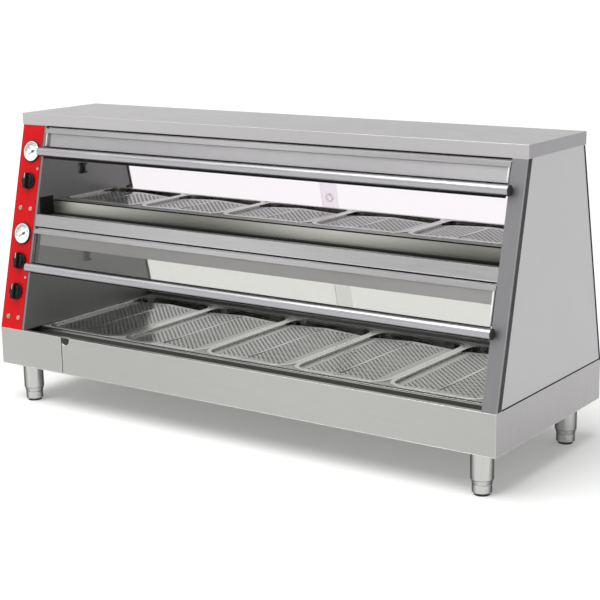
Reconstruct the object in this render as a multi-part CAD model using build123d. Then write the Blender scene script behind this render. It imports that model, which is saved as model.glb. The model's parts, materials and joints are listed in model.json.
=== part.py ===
from build123d import *
import math
import os

# Two-tier heated display cabinet on legs. +X is to the right, +Y to the rear, +Z up.
# The origin is on the floor, under the middle of the cabinet. All sizes are in millimetres.

# Overall body
WIDTH = 1514.0
DEPTH = 540.0
LEG_HEIGHT = 100.0
BASE_HEIGHT = 100.0
BODY_HEIGHT = 539.0
ROOF_HEIGHT = 31.0
ROOF_OVERHANG = 3.0
FRONT_SETBACK = 129.0
REAR_SETBACK = 120.0

# Sheet metal
SHEET = 1.2
LIP = 12.0
ROOF_SIDE_LIP = 25.0
FIT = 0.3

# Side posts
CONTROL_WIDTH = 84.0
POST_WIDTH = 36.0
POST_RETURN = 6.0
GROOVE_DEPTH = 10.0
SIDE_INSET = 25.0
POST_FLANGE = 20.0

# Tiers. A share is a height above the base top over the body's height.
MID_RAIL_SHARE = 0.5696
MID_RAIL_TALL = 31.0
UPPER_DECK_RISE = 31.8
VALANCE_TALL = 50.0
FASCIA_TALL = 61.0
VALANCE_INSET = 8.5
RAIL_LIP = 14.0
LOWER_GUTTER = 72.0
LOWER_GUTTER_DROP = 20.0
UPPER_GUTTER = 68.0
UPPER_GUTTER_DROP = 7.0
HOUSING_REAR_GAP = 50.0
HOUSING_REAR_HEIGHT = 45.0

# Rear openings
SILL_HIGH = 14.0
MID_BEAM_DROP = 26.0
HEADER_TALL = 53.0
BEAM_FLANGE = 26.0
SILL_FLANGE = 19.0

# Sliding doors and their tracks
DOOR_GLASS = 5.0
DOOR_PLAY = 0.5
DOOR_OVERLAP = 44.0
DOOR_END_GAP = 2.0
TRACK_WALL = 1.5
TRACK_INSET = 1.2
TRACK_FLOOR = 2.0
TRACK_LOW_HEIGHT = 8.0
TRACK_HIGH_HEIGHT = 12.0
DOOR_TOP_PLAY = 3.0
PULL_RADIUS = 12.0
PULL_BORE = 8.0
PULL_FLANGE = 3.0
PULL_PROUD = 0.8
PULL_WEB = 2.0
PULL_EDGE = 25.0
UPPER_PULL_RISE = 47.0
LOWER_PULL_RISE = 134.0

# Pans and their perforated inserts
PAN_COUNT = 5
PAN_ROW_MARGIN = 28.0
PAN_GAP = 0.8
PAN_RIM = 10.0
PAN_SHEET = 1.0
PAN_DEPTH = 40.0
LOWER_PAN_CORNER = 42.0
UPPER_PAN_CORNER = 24.0
PAN_CLEARANCE = 1.5
LOWER_PAN_LENGTH = 434.0
LOWER_PAN_SETBACK = 2.0
UPPER_PAN_LENGTH = 226.0
UPPER_PAN_SETBACK = 26.0
UPPER_PAN_REAR_MARGIN = 3.0
INSERT_SHEET = 0.8
INSERT_CLEARANCE = 1.5
INSERT_FRONT_GAP = 3.0
LOWER_INSERT_REAR_GAP = 48.0
UPPER_INSERT_REAR_GAP = 38.0
INSERT_RIDGE_DROP = 0.4
INSERT_FALL = 6.0

# Glass flaps
FLAP_GLASS = 5.0
FLAP_SIDE_GAP = 4.0
HINGE_DROP = 9.0
HINGE_TOP = 2.0
HINGE_BOTTOM = 10.0
HINGE_WALL = 1.5
HINGE_SLOT_PLAY = 0.1
HINGE_END_GAP = 1.0
PIN_RADIUS = 2.0
PIN_DEPTH = 5.0
PIN_REACH = 8.0
RUNNING_FIT = 0.05
UPPER_HANDLE_SHARE = 0.872
LOWER_HANDLE_SHARE = 0.3098
HANDLE_RADIUS = 12.5
HANDLE_WALL = 1.5
HANDLE_STAND_OFF = 15.0
HANDLE_LEFT_LAP = 3.0
HANDLE_RIGHT_LAP = 10.0
HANDLE_EDGE = 6.0
HANDLE_STUD = 4.0
HANDLE_STUD_COUNT = 3
HANDLE_WASHER = 6.5
WASHER_THICKNESS = 2.4
CAP_FLANGE = 2.5
CAP_PLUG = 14.0
CAP_PLAY = 0.1

# Control panel, with its fittings placed by shares of the body's height
PANEL_SHEET = 1.2
PANEL_WINDOW_END = 12.0
PANEL_EDGE = 8.0
GAUGE_SHARES = (0.872, 0.4694)
KNOB_SHARES = (0.7273, 0.3358, 0.1855)
LAMP_SHARES = (0.5928, 0.0584)
SCREW_SHARES = (0.7885, 0.2579)
SCREW_EDGE = 13.0
LAMP_SPACING = 37.0
GAUGE_BODY = 25.7
GAUGE_WALL = 1.7
GAUGE_BEZEL = 29.5
GAUGE_BEZEL_HEIGHT = 4.0
GAUGE_BODY_DEPTH = 26.0
DIAL_DROP = 3.0
DIAL_THICKNESS = 1.0
LENS_THICKNESS = 1.6
LENS_SEAT = 1.0
NEEDLE_LENGTH = 18.0
NEEDLE_TAIL = 7.0
NEEDLE_WIDTH = 1.3
NEEDLE_TAIL_WIDTH = 3.2
NEEDLE_THICKNESS = 0.7
NEEDLE_LIFT = 0.6
NEEDLE_HUB = 2.6
NEEDLE_PIN = 0.9
NEEDLE_REST_ANGLE = 120.0
PANEL_HOLE_PLAY = 0.2
KNOB_RADIUS = 23.0
KNOB_SKIRT = 5.0
KNOB_HEIGHT = 19.0
KNOB_GRIP_WIDTH = 15.0
KNOB_GAP = 0.8
SHAFT_RADIUS = 3.0
SHAFT_REACH = 15.0
THERMOSTAT_SIZE = 36.0
THERMOSTAT_DEPTH = 22.0
THERMOSTAT_BUSH = 5.0
LAMP_RADIUS = 6.0
LAMP_DOME = 4.0
LAMP_BODY = 4.8
LAMP_BODY_DEPTH = 18.0
SCREW_HEAD = 3.5
SCREW_HEAD_HEIGHT = 2.2
SCREW_SHANK = 2.0
SCREW_LENGTH = 9.0

# Heating elements
ELEMENT_RADIUS = 4.0
ELEMENT_SPREAD = 70.0
ELEMENT_RISE = 18.0
ELEMENT_OVERRUN = 16.0
ELEMENT_SLOT_WIDTH = 34.0
ELEMENT_SLOT_END = 40.0
BASE_ELEMENT_RISE = 20.0
BASE_ELEMENT_SPREAD = 110.0
BASE_ELEMENT_END = 90.0
SADDLE_COUNT = 3
SADDLE_PITCH = 500.0
SADDLE_SHEET = 2.0
SADDLE_MARGIN = 14.0

# Legs, feet and cable entry
LEG_LEFT_INSET = 80.0
LEG_RIGHT_INSET = 50.0
LEG_FRONT_INSET = 33.0
LEG_REAR_INSET = 80.0
LEG_RADIUS = 27.0
LEG_WALL = 1.5
LEG_DISC = 3.0
LEG_STUD = 5.0
LEG_STUD_LENGTH = 13.0
NUT_RADIUS = 9.8
NUT_HEIGHT = 8.0
FOOT_HEIGHT = 37.0
FOOT_TAPER = 11.0
FOOT_RADIUS = 23.0
FOOT_SOLE = 16.5
FOOT_SOLE_RISE = 7.0
FOOT_STEM = 8.0
FOOT_STEM_LENGTH = 40.0
LEG_BUSH = 12.0
LEG_BUSH_LIFT = 2.0
GLAND_LEFT_INSET = 157.0
GLAND_REAR_INSET = 55.0
GLAND_THREAD = 10.0
GLAND_HEX = 14.0
GLAND_HEX_HEIGHT = 8.0
GLAND_DOME = 11.0
GLAND_DOME_HEIGHT = 9.0
GLAND_BORE = 6.0
GLAND_STEM = 12.0
GLAND_NUT_HEIGHT = 5.0

# Base details
SERVICE_WIDTH = 222.0
SERVICE_SEAM = 3.0
SERVICE_FOLD = 12.0
NOTCH_RADIUS = 15.0
NOTCH_SHIFT = 12.0
NOTCH_DROP = 5.0
WIRING_HOLE_X = 50.0
WIRING_HOLE_Y = 260.0
VENT_COUNT = 12
VENT_PITCH = 30.0
VENT_LENGTH = 70.0
VENT_WIDTH = 6.0

# Sensor clips on the left wall
CLIP_SHARES = (0.7328, 0.2746)
CLIP_Y = -8.0
CLIP_TALL = 28.0
CLIP_WIDE = 18.0
CLIP_DEEP = 8.0
CLIP_BAR = 5.0
CLIP_STEM = 6.0

# Heights and faces worked out from the sizes above
HALF_WIDTH = WIDTH / 2
HALF_DEPTH = DEPTH / 2
Z_BASE = LEG_HEIGHT
Z_FLOOR_TOP = Z_BASE + SHEET
Z_DECK = Z_BASE + BASE_HEIGHT
Z_ROOF = Z_DECK + BODY_HEIGHT
Z_TOP = Z_ROOF + ROOF_HEIGHT
Z_LOWER_SEAT = Z_DECK - SHEET
MID_RAIL_HIGH = MID_RAIL_SHARE * BODY_HEIGHT
MID_BEAM_LOW = MID_RAIL_HIGH - MID_BEAM_DROP
HEADER_LOW = BODY_HEIGHT - HEADER_TALL
Z_RAIL_HIGH = Z_DECK + MID_RAIL_HIGH
Z_RAIL_LOW = Z_RAIL_HIGH - MID_RAIL_TALL
Z_UPPER_SEAT = Z_RAIL_HIGH + UPPER_DECK_RISE
Z_VALANCE = Z_RAIL_LOW - VALANCE_TALL
Z_FASCIA = Z_ROOF - FASCIA_TALL
INNER_LEFT = -HALF_WIDTH + CONTROL_WIDTH
INNER_RIGHT = HALF_WIDTH - POST_WIDTH
SPAN_LEFT = INNER_LEFT + FIT
SPAN_RIGHT = INNER_RIGHT - FIT
PANEL_X = (INNER_LEFT - HALF_WIDTH) / 2
FRONT_LEAN = math.atan2(FRONT_SETBACK, BODY_HEIGHT)
REAR_LEAN = math.atan2(REAR_SETBACK, BODY_HEIGHT)
MID_BEAM_HIGH = MID_RAIL_HIGH - UPPER_GUTTER_DROP + BEAM_FLANGE * math.sin(REAR_LEAN)
FRONT_NORMAL = (0, -math.cos(FRONT_LEAN), math.sin(FRONT_LEAN))
REAR_NORMAL = (0, math.cos(REAR_LEAN), math.sin(REAR_LEAN))
SEAM_X = -HALF_WIDTH + SERVICE_WIDTH
RISER_Y = -HALF_DEPTH + LOWER_GUTTER
PAN_PITCH = (INNER_RIGHT - INNER_LEFT - PAN_ROW_MARGIN) / PAN_COUNT
PAN_WIDTH = PAN_PITCH - PAN_GAP
LOWER_PAN_FRONT = RISER_Y + LOWER_PAN_SETBACK
GLAND_X = -HALF_WIDTH + GLAND_LEFT_INSET
GLAND_Y = HALF_DEPTH - GLAND_REAR_INSET
GAUGE_HEIGHTS = [share * BODY_HEIGHT for share in GAUGE_SHARES]
KNOB_HEIGHTS = [share * BODY_HEIGHT for share in KNOB_SHARES]
LAMP_HEIGHTS = [share * BODY_HEIGHT for share in LAMP_SHARES]
SCREW_HEIGHTS = [share * BODY_HEIGHT for share in SCREW_SHARES]
CLIP_HEIGHTS = [share * BODY_HEIGHT for share in CLIP_SHARES]


def front_y(z, inset=0.0):
    """Y of the sloped front face at a height, moved inwards by an inset square to the face."""
    return -HALF_DEPTH + (z - Z_DECK) * math.tan(FRONT_LEAN) + inset / math.cos(FRONT_LEAN)


def rear_y(z, inset=0.0):
    """Y of the sloped rear face at a height, moved inwards by an inset square to the face."""
    return HALF_DEPTH - (z - Z_DECK) * math.tan(REAR_LEAN) - inset / math.cos(REAR_LEAN)


UPPER_RISER_Y = front_y(Z_RAIL_HIGH) + UPPER_GUTTER
UPPER_PAN_FRONT = UPPER_RISER_Y + UPPER_PAN_SETBACK
UPPER_REAR_RISER_Y = UPPER_PAN_FRONT + UPPER_PAN_LENGTH + UPPER_PAN_REAR_MARGIN


def front_plane(x, height):
    """Plane on the sloped front face. Local Y climbs the slope and local Z points outwards."""
    z = Z_DECK + height
    return Plane(origin=(x, front_y(z), z), x_dir=(1, 0, 0), z_dir=FRONT_NORMAL)


def rear_plane():
    """Plane on the sloped rear face at the base top. Local Y climbs, local Z points outwards."""
    return Plane(origin=(0, HALF_DEPTH, Z_DECK), x_dir=(-1, 0, 0), z_dir=REAR_NORMAL)


def block(x0, x1, y0, y1, z0, z1):
    """Box given by its low and high faces."""
    middle = ((x0 + x1) / 2, (y0 + y1) / 2, (z0 + z1) / 2)
    return Pos(*middle) * Box(abs(x1 - x0), abs(y1 - y0), abs(z1 - z0))


def prism_x(outline, x0, x1):
    """Extrude a closed outline of (y, z) points along X."""
    low, high = min(x0, x1), max(x0, x1)
    face = make_face(Polyline(*[(low, y, z) for y, z in outline], close=True))
    return extrude(face, amount=high - low, dir=(1, 0, 0))


def prism_y(outline, y0, y1):
    """Extrude a closed outline of (x, z) points along Y."""
    face = make_face(Polyline(*[(x, y0, z) for x, z in outline], close=True))
    return extrude(face, amount=y1 - y0, dir=(0, 1, 0))


def sheet_outline(path, thickness):
    """Closed outline of a bent sheet: the path, and the same path offset to its left."""
    normals = []
    for (a0, b0), (a1, b1) in zip(path, path[1:]):
        length = math.hypot(a1 - a0, b1 - b0)
        normals.append((-(b1 - b0) / length, (a1 - a0) / length))
    before = [normals[0]] + normals
    after = normals + [normals[-1]]
    offset = []
    for (a, b), (n0, m0), (n1, m1) in zip(path, before, after):
        scale = thickness / (1 + n0 * n1 + m0 * m1)
        offset.append((a + (n0 + n1) * scale, b + (m0 + m1) * scale))
    return list(path) + offset[::-1]


def bent_sheet(path, x0, x1, thickness=SHEET):
    """Bent sheet that runs along X, from its (y, z) path. Its thickness is to the path's left."""
    return prism_x(sheet_outline(path, thickness), x0, x1)


def front_plate(x0, x1, z0, z1, inset0, inset1):
    """Plate parallel to the sloped front, between two insets, with level ends."""
    outline = [
        (front_y(z0, inset0), z0),
        (front_y(z0, inset1), z0),
        (front_y(z1, inset1), z1),
        (front_y(z1, inset0), z1),
    ]
    return prism_x(outline, x0, x1)


def rear_plate(x0, x1, z0, z1, inset0, inset1):
    """Plate parallel to the sloped rear, between two insets, with level ends."""
    outline = [
        (rear_y(z0, inset0), z0),
        (rear_y(z0, inset1), z0),
        (rear_y(z1, inset1), z1),
        (rear_y(z1, inset0), z1),
    ]
    return prism_x(outline, x0, x1)


def cross_plate(x0, x1, z0, z1, front_inset, rear_inset):
    """Upright plate square to X that reaches from the sloped front to the sloped rear."""
    outline = [
        (front_y(z0, front_inset), z0),
        (rear_y(z0, rear_inset), z0),
        (rear_y(z1, rear_inset), z1),
        (front_y(z1, front_inset), z1),
    ]
    return prism_x(outline, x0, x1)


def rear_slab(x0, x1, climb0, climb1, inset0, inset1):
    """Box in the rear face's own axes: X, the climb up the slope and the depth inwards."""
    centre = Pos(-(x0 + x1) / 2, (climb0 + climb1) / 2, -(inset0 + inset1) / 2)
    return rear_plane() * centre * Box(abs(x1 - x0), climb1 - climb0, inset1 - inset0)


def climb(height):
    """Distance up the rear slope of a height above the base top."""
    return height / math.cos(REAR_LEAN)


def rounded_block(x_mid, y_mid, width, length, radius, z0, z1):
    """Upright block with rounded vertical edges."""
    face = Pos(x_mid, y_mid, z0) * RectangleRounded(width, length, radius)
    return extrude(face, amount=z1 - z0, dir=(0, 0, 1))


def tube_along_x(x0, x1, y, z, radius):
    """Cylinder along X."""
    return Pos((x0 + x1) / 2, y, z) * Rot(0, 90, 0) * Cylinder(radius, abs(x1 - x0))


def disc(plane, radius, low, high, x=0.0, y=0.0):
    """Cylinder on a plane, between two distances along its normal."""
    return plane * Pos(x, y, (low + high) / 2) * Cylinder(radius, high - low)


def hexagon(x, y, radius, z0, z1):
    """Upright hexagonal prism."""
    face = Pos(x, y, z0) * RegularPolygon(radius, 6)
    return extrude(face, amount=z1 - z0, dir=(0, 0, 1))


def frame_ring(half_x, y0, y1, band_x, band_y, z0, z1):
    """Flat rectangular ring."""
    outer = block(-half_x, half_x, y0, y1, z0, z1)
    inner = block(-half_x + band_x, half_x - band_x, y0 + band_y, y1 - band_y, z0 - SHEET, z1 + SHEET)
    return outer - inner


def leg_centres():
    """Places of the four legs."""
    columns = (-HALF_WIDTH + LEG_LEFT_INSET, HALF_WIDTH - LEG_RIGHT_INSET)
    rows = (-HALF_DEPTH + LEG_FRONT_INSET, HALF_DEPTH - LEG_REAR_INSET)
    return [(x, y) for x in columns for y in rows]


def pan_centre_x(index):
    """X of the middle of a pan, counted from the left."""
    return INNER_LEFT + PAN_PITCH * (index + 0.5)


def hinge_point(support_z):
    """(y, z) of a flap's hinge axis under the piece that it hangs below."""
    z = support_z - HINGE_DROP
    y = front_y(z) + PIN_DEPTH * math.cos(FRONT_LEAN)
    return y, z - PIN_DEPTH * math.sin(FRONT_LEAN)


def heater_lines():
    """(y, z) of each heating element that crosses the cabinet between its side walls."""
    lines = []
    for z_plate in (Z_FASCIA, Z_VALANCE):
        for side in (-1, 1):
            lines.append((side * ELEMENT_SPREAD, z_plate + ELEMENT_RISE))
    return lines


def base_heater_lines():
    """(y, z) of each heating element in the base, under the pans."""
    z = Z_FLOOR_TOP + BASE_ELEMENT_RISE
    return [(side * BASE_ELEMENT_SPREAD, z) for side in (-1, 0, 1)]


def base_shell():
    """Folded base: four walls, inward lips, and the sill below the rear doors."""
    outer = block(-HALF_WIDTH, HALF_WIDTH, -HALF_DEPTH, HALF_DEPTH, Z_FLOOR_TOP, Z_DECK)
    inner_x = HALF_WIDTH - SHEET
    inner_y = HALF_DEPTH - SHEET
    shell = outer - block(-inner_x, inner_x, -inner_y, inner_y, Z_FLOOR_TOP, Z_DECK)
    for z in (Z_FLOOR_TOP, Z_DECK - SHEET):
        shell += frame_ring(HALF_WIDTH, -HALF_DEPTH, HALF_DEPTH, LIP, LIP, z, z + SHEET)
    sill_top = climb(SILL_HIGH)
    shell += rear_slab(SPAN_LEFT, SPAN_RIGHT, 0, sill_top, 0, SHEET)
    shell += rear_slab(SPAN_LEFT, SPAN_RIGHT, sill_top - SHEET, sill_top, 0, SILL_FLANGE)
    front_gap = block(
        -HALF_WIDTH, SEAM_X + SERVICE_SEAM, -HALF_DEPTH, -HALF_DEPTH + SHEET, Z_FLOOR_TOP, Z_DECK
    )
    shell -= front_gap
    notch_x = SEAM_X + SERVICE_SEAM + NOTCH_SHIFT
    notch_z = Z_DECK - NOTCH_DROP
    notch = Pos(notch_x, -HALF_DEPTH, notch_z) * Rot(90, 0, 0) * Cylinder(NOTCH_RADIUS, LIP)
    return shell - notch


def service_cover():
    """Removable left part of the base front."""
    plate = block(-HALF_WIDTH, SEAM_X, -HALF_DEPTH, -HALF_DEPTH + SHEET, Z_FLOOR_TOP, Z_DECK)
    fold_top = Z_LOWER_SEAT - LOWER_GUTTER_DROP - 2 * SHEET
    y_fold = -HALF_DEPTH + SHEET
    fold_low = Z_FLOOR_TOP + SHEET + FIT
    fold = block(SEAM_X - SHEET, SEAM_X, y_fold, y_fold + SERVICE_FOLD, fold_low, fold_top)
    return plate + fold


def floor_vent(index):
    """One slot in the base floor."""
    x = (index - (VENT_COUNT - 1) / 2) * VENT_PITCH
    half = VENT_WIDTH / 2
    reach = VENT_LENGTH / 2
    return block(x - half, x + half, -reach, reach, Z_BASE, Z_FLOOR_TOP + SHEET)


def saddle_plate(index):
    """Upright plate on the base floor that carries the base heating elements."""
    x = (index - (SADDLE_COUNT - 1) / 2) * SADDLE_PITCH
    half = SADDLE_SHEET / 2
    reach = BASE_ELEMENT_SPREAD + SADDLE_MARGIN
    top = Z_FLOOR_TOP + BASE_ELEMENT_RISE + SADDLE_MARGIN
    return block(x - half, x + half, -reach, reach, Z_FLOOR_TOP, top)


def base_floor():
    """Bottom sheet of the base with vents, leg holes, cable hole and element saddles."""
    floor = block(-HALF_WIDTH, HALF_WIDTH, -HALF_DEPTH, HALF_DEPTH, Z_BASE, Z_FLOOR_TOP)
    for x, y in leg_centres():
        floor -= Pos(x, y, Z_BASE) * Cylinder(LEG_STUD + PANEL_HOLE_PLAY, BASE_HEIGHT)
    floor -= Pos(GLAND_X, GLAND_Y, Z_BASE) * Cylinder(GLAND_THREAD + PANEL_HOLE_PLAY, BASE_HEIGHT)
    for index in range(VENT_COUNT):
        floor -= floor_vent(index)
    for index in range(SADDLE_COUNT):
        floor += saddle_plate(index)
    for y, z in base_heater_lines():
        floor -= tube_along_x(-HALF_WIDTH, HALF_WIDTH, y, z, ELEMENT_RADIUS + RUNNING_FIT)
    return floor


def pan_openings(y_front, length, corner, z_seat):
    """Cutting bodies for a row of pans in a deck."""
    width = PAN_WIDTH - 2 * PAN_RIM + 2 * PAN_CLEARANCE
    span = length - 2 * PAN_RIM + 2 * PAN_CLEARANCE
    y_mid = y_front + length / 2
    radius = corner + PAN_CLEARANCE
    return [
        rounded_block(pan_centre_x(i), y_mid, width, span, radius, z_seat - 2 * SHEET, z_seat + SHEET)
        for i in range(PAN_COUNT)
    ]


def lower_deck():
    """Deck of the lower tier: a crumb gutter along the front and five pan openings."""
    y_wall = HALF_DEPTH - SHEET - FIT
    gutter = Z_LOWER_SEAT - LOWER_GUTTER_DROP
    path = [
        (y_wall, gutter),
        (y_wall, Z_LOWER_SEAT),
        (RISER_Y, Z_LOWER_SEAT),
        (RISER_Y, gutter),
        (SHEET - y_wall, gutter),
        (SHEET - y_wall, Z_LOWER_SEAT),
    ]
    edge_x = HALF_WIDTH - SHEET - FIT
    deck = bent_sheet(path, -edge_x, edge_x)
    for opening in pan_openings(LOWER_PAN_FRONT, LOWER_PAN_LENGTH, LOWER_PAN_CORNER, Z_LOWER_SEAT):
        deck -= opening
    half_x = WIRING_HOLE_X / 2
    half_y = WIRING_HOLE_Y / 2
    wiring = block(PANEL_X - half_x, PANEL_X + half_x, -half_y, half_y, gutter, Z_DECK)
    return deck - wiring


def upper_deck():
    """Deck of the upper tier: a raised tray on a shelf, with the rear middle beam."""
    gutter = Z_RAIL_HIGH - UPPER_GUTTER_DROP
    y_lip = front_y(Z_RAIL_HIGH) + RAIL_LIP - 2 * SHEET
    beam_top = climb(MID_BEAM_HIGH)
    beam_low = climb(MID_BEAM_LOW)
    z_beam = Z_DECK + MID_BEAM_HIGH
    y_step = rear_y(z_beam) - BEAM_FLANGE * math.cos(REAR_LEAN) + SHEET
    path = [
        (y_step, gutter),
        (UPPER_REAR_RISER_Y, gutter),
        (UPPER_REAR_RISER_Y, Z_UPPER_SEAT),
        (UPPER_RISER_Y, Z_UPPER_SEAT),
        (UPPER_RISER_Y, gutter),
        (y_lip, gutter),
        (y_lip, Z_RAIL_HIGH - SHEET),
    ]
    deck = bent_sheet(path, SPAN_LEFT, SPAN_RIGHT)
    deck += rear_slab(SPAN_LEFT, SPAN_RIGHT, beam_low, beam_top, 0, SHEET)
    deck += rear_slab(SPAN_LEFT, SPAN_RIGHT, beam_top - SHEET, beam_top, 0, BEAM_FLANGE)
    deck += rear_slab(SPAN_LEFT, SPAN_RIGHT, beam_low, beam_low + SHEET, 0, BEAM_FLANGE)
    for opening in pan_openings(UPPER_PAN_FRONT, UPPER_PAN_LENGTH, UPPER_PAN_CORNER, Z_UPPER_SEAT):
        deck -= opening
    return deck


def mid_front_rail():
    """Channel across the front between the two tiers."""
    rail = front_plate(SPAN_LEFT, SPAN_RIGHT, Z_RAIL_LOW, Z_RAIL_HIGH, 0, SHEET)
    y_high = front_y(Z_RAIL_HIGH)
    y_low = front_y(Z_RAIL_LOW)
    rail += block(SPAN_LEFT, SPAN_RIGHT, y_high, y_high + RAIL_LIP, Z_RAIL_HIGH - SHEET, Z_RAIL_HIGH)
    rail += block(SPAN_LEFT, SPAN_RIGHT, y_low, y_low + RAIL_LIP, Z_RAIL_LOW, Z_RAIL_LOW + SHEET)
    return rail


def heat_slots(z_plate):
    """Cutting bodies for the slots that the heating elements shine through."""
    half = ELEMENT_SLOT_WIDTH / 2
    x0 = INNER_LEFT + ELEMENT_SLOT_END
    x1 = INNER_RIGHT - ELEMENT_SLOT_END
    slots = []
    for side in (-1, 1):
        y = side * ELEMENT_SPREAD
        slots.append(block(x0, x1, y - half, y + half, z_plate - SHEET, z_plate + 2 * SHEET))
    return slots


def lower_heater_housing():
    """Hood above the lower tier, with the valance behind the lower glass."""
    y_top = front_y(Z_RAIL_LOW, VALANCE_INSET)
    y_low = front_y(Z_VALANCE, VALANCE_INSET)
    y_rear = rear_y(Z_VALANCE) - HOUSING_REAR_GAP
    path = [
        (y_top, Z_RAIL_LOW),
        (y_low, Z_VALANCE),
        (y_rear, Z_VALANCE),
        (y_rear, Z_VALANCE + HOUSING_REAR_HEIGHT),
    ]
    hood = bent_sheet(path, SPAN_LEFT, SPAN_RIGHT)
    for slot in heat_slots(Z_VALANCE):
        hood -= slot
    return hood


def upper_heater_housing():
    """Hood under the roof, with the fascia behind the upper glass and the rear header."""
    y_top = front_y(Z_ROOF, VALANCE_INSET)
    y_low = front_y(Z_FASCIA, VALANCE_INSET)
    header_low = climb(HEADER_LOW)
    z_header = Z_DECK + HEADER_LOW
    y_step = rear_y(z_header) - BEAM_FLANGE * math.cos(REAR_LEAN) + SHEET
    z_step = z_header - BEAM_FLANGE * math.sin(REAR_LEAN) + 2 * SHEET
    path = [(y_top, Z_ROOF), (y_low, Z_FASCIA), (y_step, Z_FASCIA), (y_step, z_step)]
    hood = bent_sheet(path, SPAN_LEFT, SPAN_RIGHT)
    hood += rear_slab(SPAN_LEFT, SPAN_RIGHT, header_low, climb(BODY_HEIGHT), 0, SHEET)
    hood += rear_slab(SPAN_LEFT, SPAN_RIGHT, header_low, header_low + SHEET, 0, BEAM_FLANGE)
    for slot in heat_slots(Z_FASCIA):
        hood -= slot
    return hood


def roof_cover():
    """Folded roof tray with lips that rest on the posts and side panels."""
    half_x = HALF_WIDTH + ROOF_OVERHANG
    y0 = front_y(Z_ROOF)
    y1 = rear_y(Z_ROOF)
    roof = block(-half_x, half_x, y0, y1, Z_ROOF, Z_TOP)
    inner_x = half_x - SHEET
    roof -= block(-inner_x, inner_x, y0 + SHEET, y1 - SHEET, Z_ROOF, Z_TOP - SHEET)
    return roof + frame_ring(half_x, y0, y1, ROOF_SIDE_LIP, LIP, Z_ROOF, Z_ROOF + SHEET)


def post(x_in, x_out, face_inset):
    """Folded corner post: inner wall, front face, grooved outer return and rear face."""
    side = 1 if x_out > x_in else -1
    x_groove = x_out - side * GROOVE_DEPTH
    body = cross_plate(x_in, x_in + side * SHEET, Z_DECK, Z_ROOF, face_inset, 0)
    body += front_plate(x_in, x_out, Z_DECK, Z_ROOF, face_inset, face_inset + SHEET)
    body += front_plate(x_out - side * SHEET, x_out, Z_DECK, Z_ROOF, face_inset, POST_RETURN)
    body += front_plate(x_groove, x_out, Z_DECK, Z_ROOF, POST_RETURN - SHEET, POST_RETURN)
    body += front_plate(
        x_groove - side * SHEET, x_groove, Z_DECK, Z_ROOF, POST_RETURN - SHEET, SIDE_INSET
    )
    body += rear_plate(x_in, x_out - side * SHEET, Z_DECK, Z_ROOF, 0, SHEET)
    for support_z in (Z_ROOF, Z_RAIL_LOW):
        y, z = hinge_point(support_z)
        x_far = x_in + 2 * side * PIN_REACH
        body -= tube_along_x(x_in - side * SHEET, x_far, y, z, PIN_RADIUS + RUNNING_FIT)
    for y, z in heater_lines():
        reach = 2 * ELEMENT_OVERRUN
        body -= tube_along_x(x_in - reach, x_in + reach, y, z, ELEMENT_RADIUS + RUNNING_FIT)
    return body


def column_left():
    """Post on the control side, with a window behind the control panel."""
    body = post(INNER_LEFT, -HALF_WIDTH, PANEL_SHEET)
    x0 = -HALF_WIDTH + POST_FLANGE
    x1 = INNER_LEFT - POST_FLANGE
    z0 = Z_DECK + PANEL_WINDOW_END
    z1 = Z_ROOF - PANEL_WINDOW_END
    body -= front_plate(x0, x1, z0, z1, 0, PANEL_SHEET + 2 * SHEET)
    for x, height, radius in panel_holes():
        body -= disc(front_plane(x, height), radius + PANEL_HOLE_PLAY, -SCREW_LENGTH, SCREW_LENGTH)
    return body


def column_right():
    """Plain post on the right."""
    return post(INNER_RIGHT, HALF_WIDTH, 0)


def side_panel(side):
    """Sloped outer side skin with folded edges."""
    x_skin = side * HALF_WIDTH
    x_inside = x_skin - side * SHEET
    x_front = x_skin - side * (GROOVE_DEPTH + SHEET)
    x_lip = x_skin - side * LIP
    panel = cross_plate(x_inside, x_skin, Z_DECK, Z_ROOF, SIDE_INSET, 0)
    panel += front_plate(x_front, x_skin, Z_DECK, Z_ROOF, SIDE_INSET, SIDE_INSET + SHEET)
    panel += rear_plate(x_lip, x_inside, Z_DECK, Z_ROOF, SHEET, 2 * SHEET)
    panel += cross_plate(x_lip, x_inside, Z_DECK, Z_DECK + SHEET, SIDE_INSET, SHEET)
    panel += cross_plate(x_lip, x_inside, Z_ROOF - SHEET, Z_ROOF, SIDE_INSET, SHEET)
    return panel


def panel_holes():
    """X, height and radius of what passes through the control panel."""
    holes = [(PANEL_X, height, GAUGE_BODY) for height in GAUGE_HEIGHTS]
    holes += [(PANEL_X, height, THERMOSTAT_BUSH) for height in KNOB_HEIGHTS]
    holes += [(x, height, LAMP_BODY) for x, height in lamp_places()]
    return holes + [(INNER_LEFT - SCREW_EDGE, height, SCREW_SHANK) for height in SCREW_HEIGHTS]


def control_panel():
    """Coloured fascia plate with holes for the gauges, knobs, lamps and screws."""
    panel = front_plate(-HALF_WIDTH, INNER_LEFT - PANEL_EDGE, Z_DECK, Z_ROOF, 0, PANEL_SHEET)
    for x, height, radius in panel_holes():
        panel -= disc(front_plane(x, height), radius + PANEL_HOLE_PLAY, -2 * PANEL_SHEET, PANEL_SHEET)
    return panel


def lamp_places():
    """X and height of each pilot lamp."""
    shift = LAMP_SPACING / 2
    return [(PANEL_X + side * shift, height) for height in LAMP_HEIGHTS for side in (-1, 1)]


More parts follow.
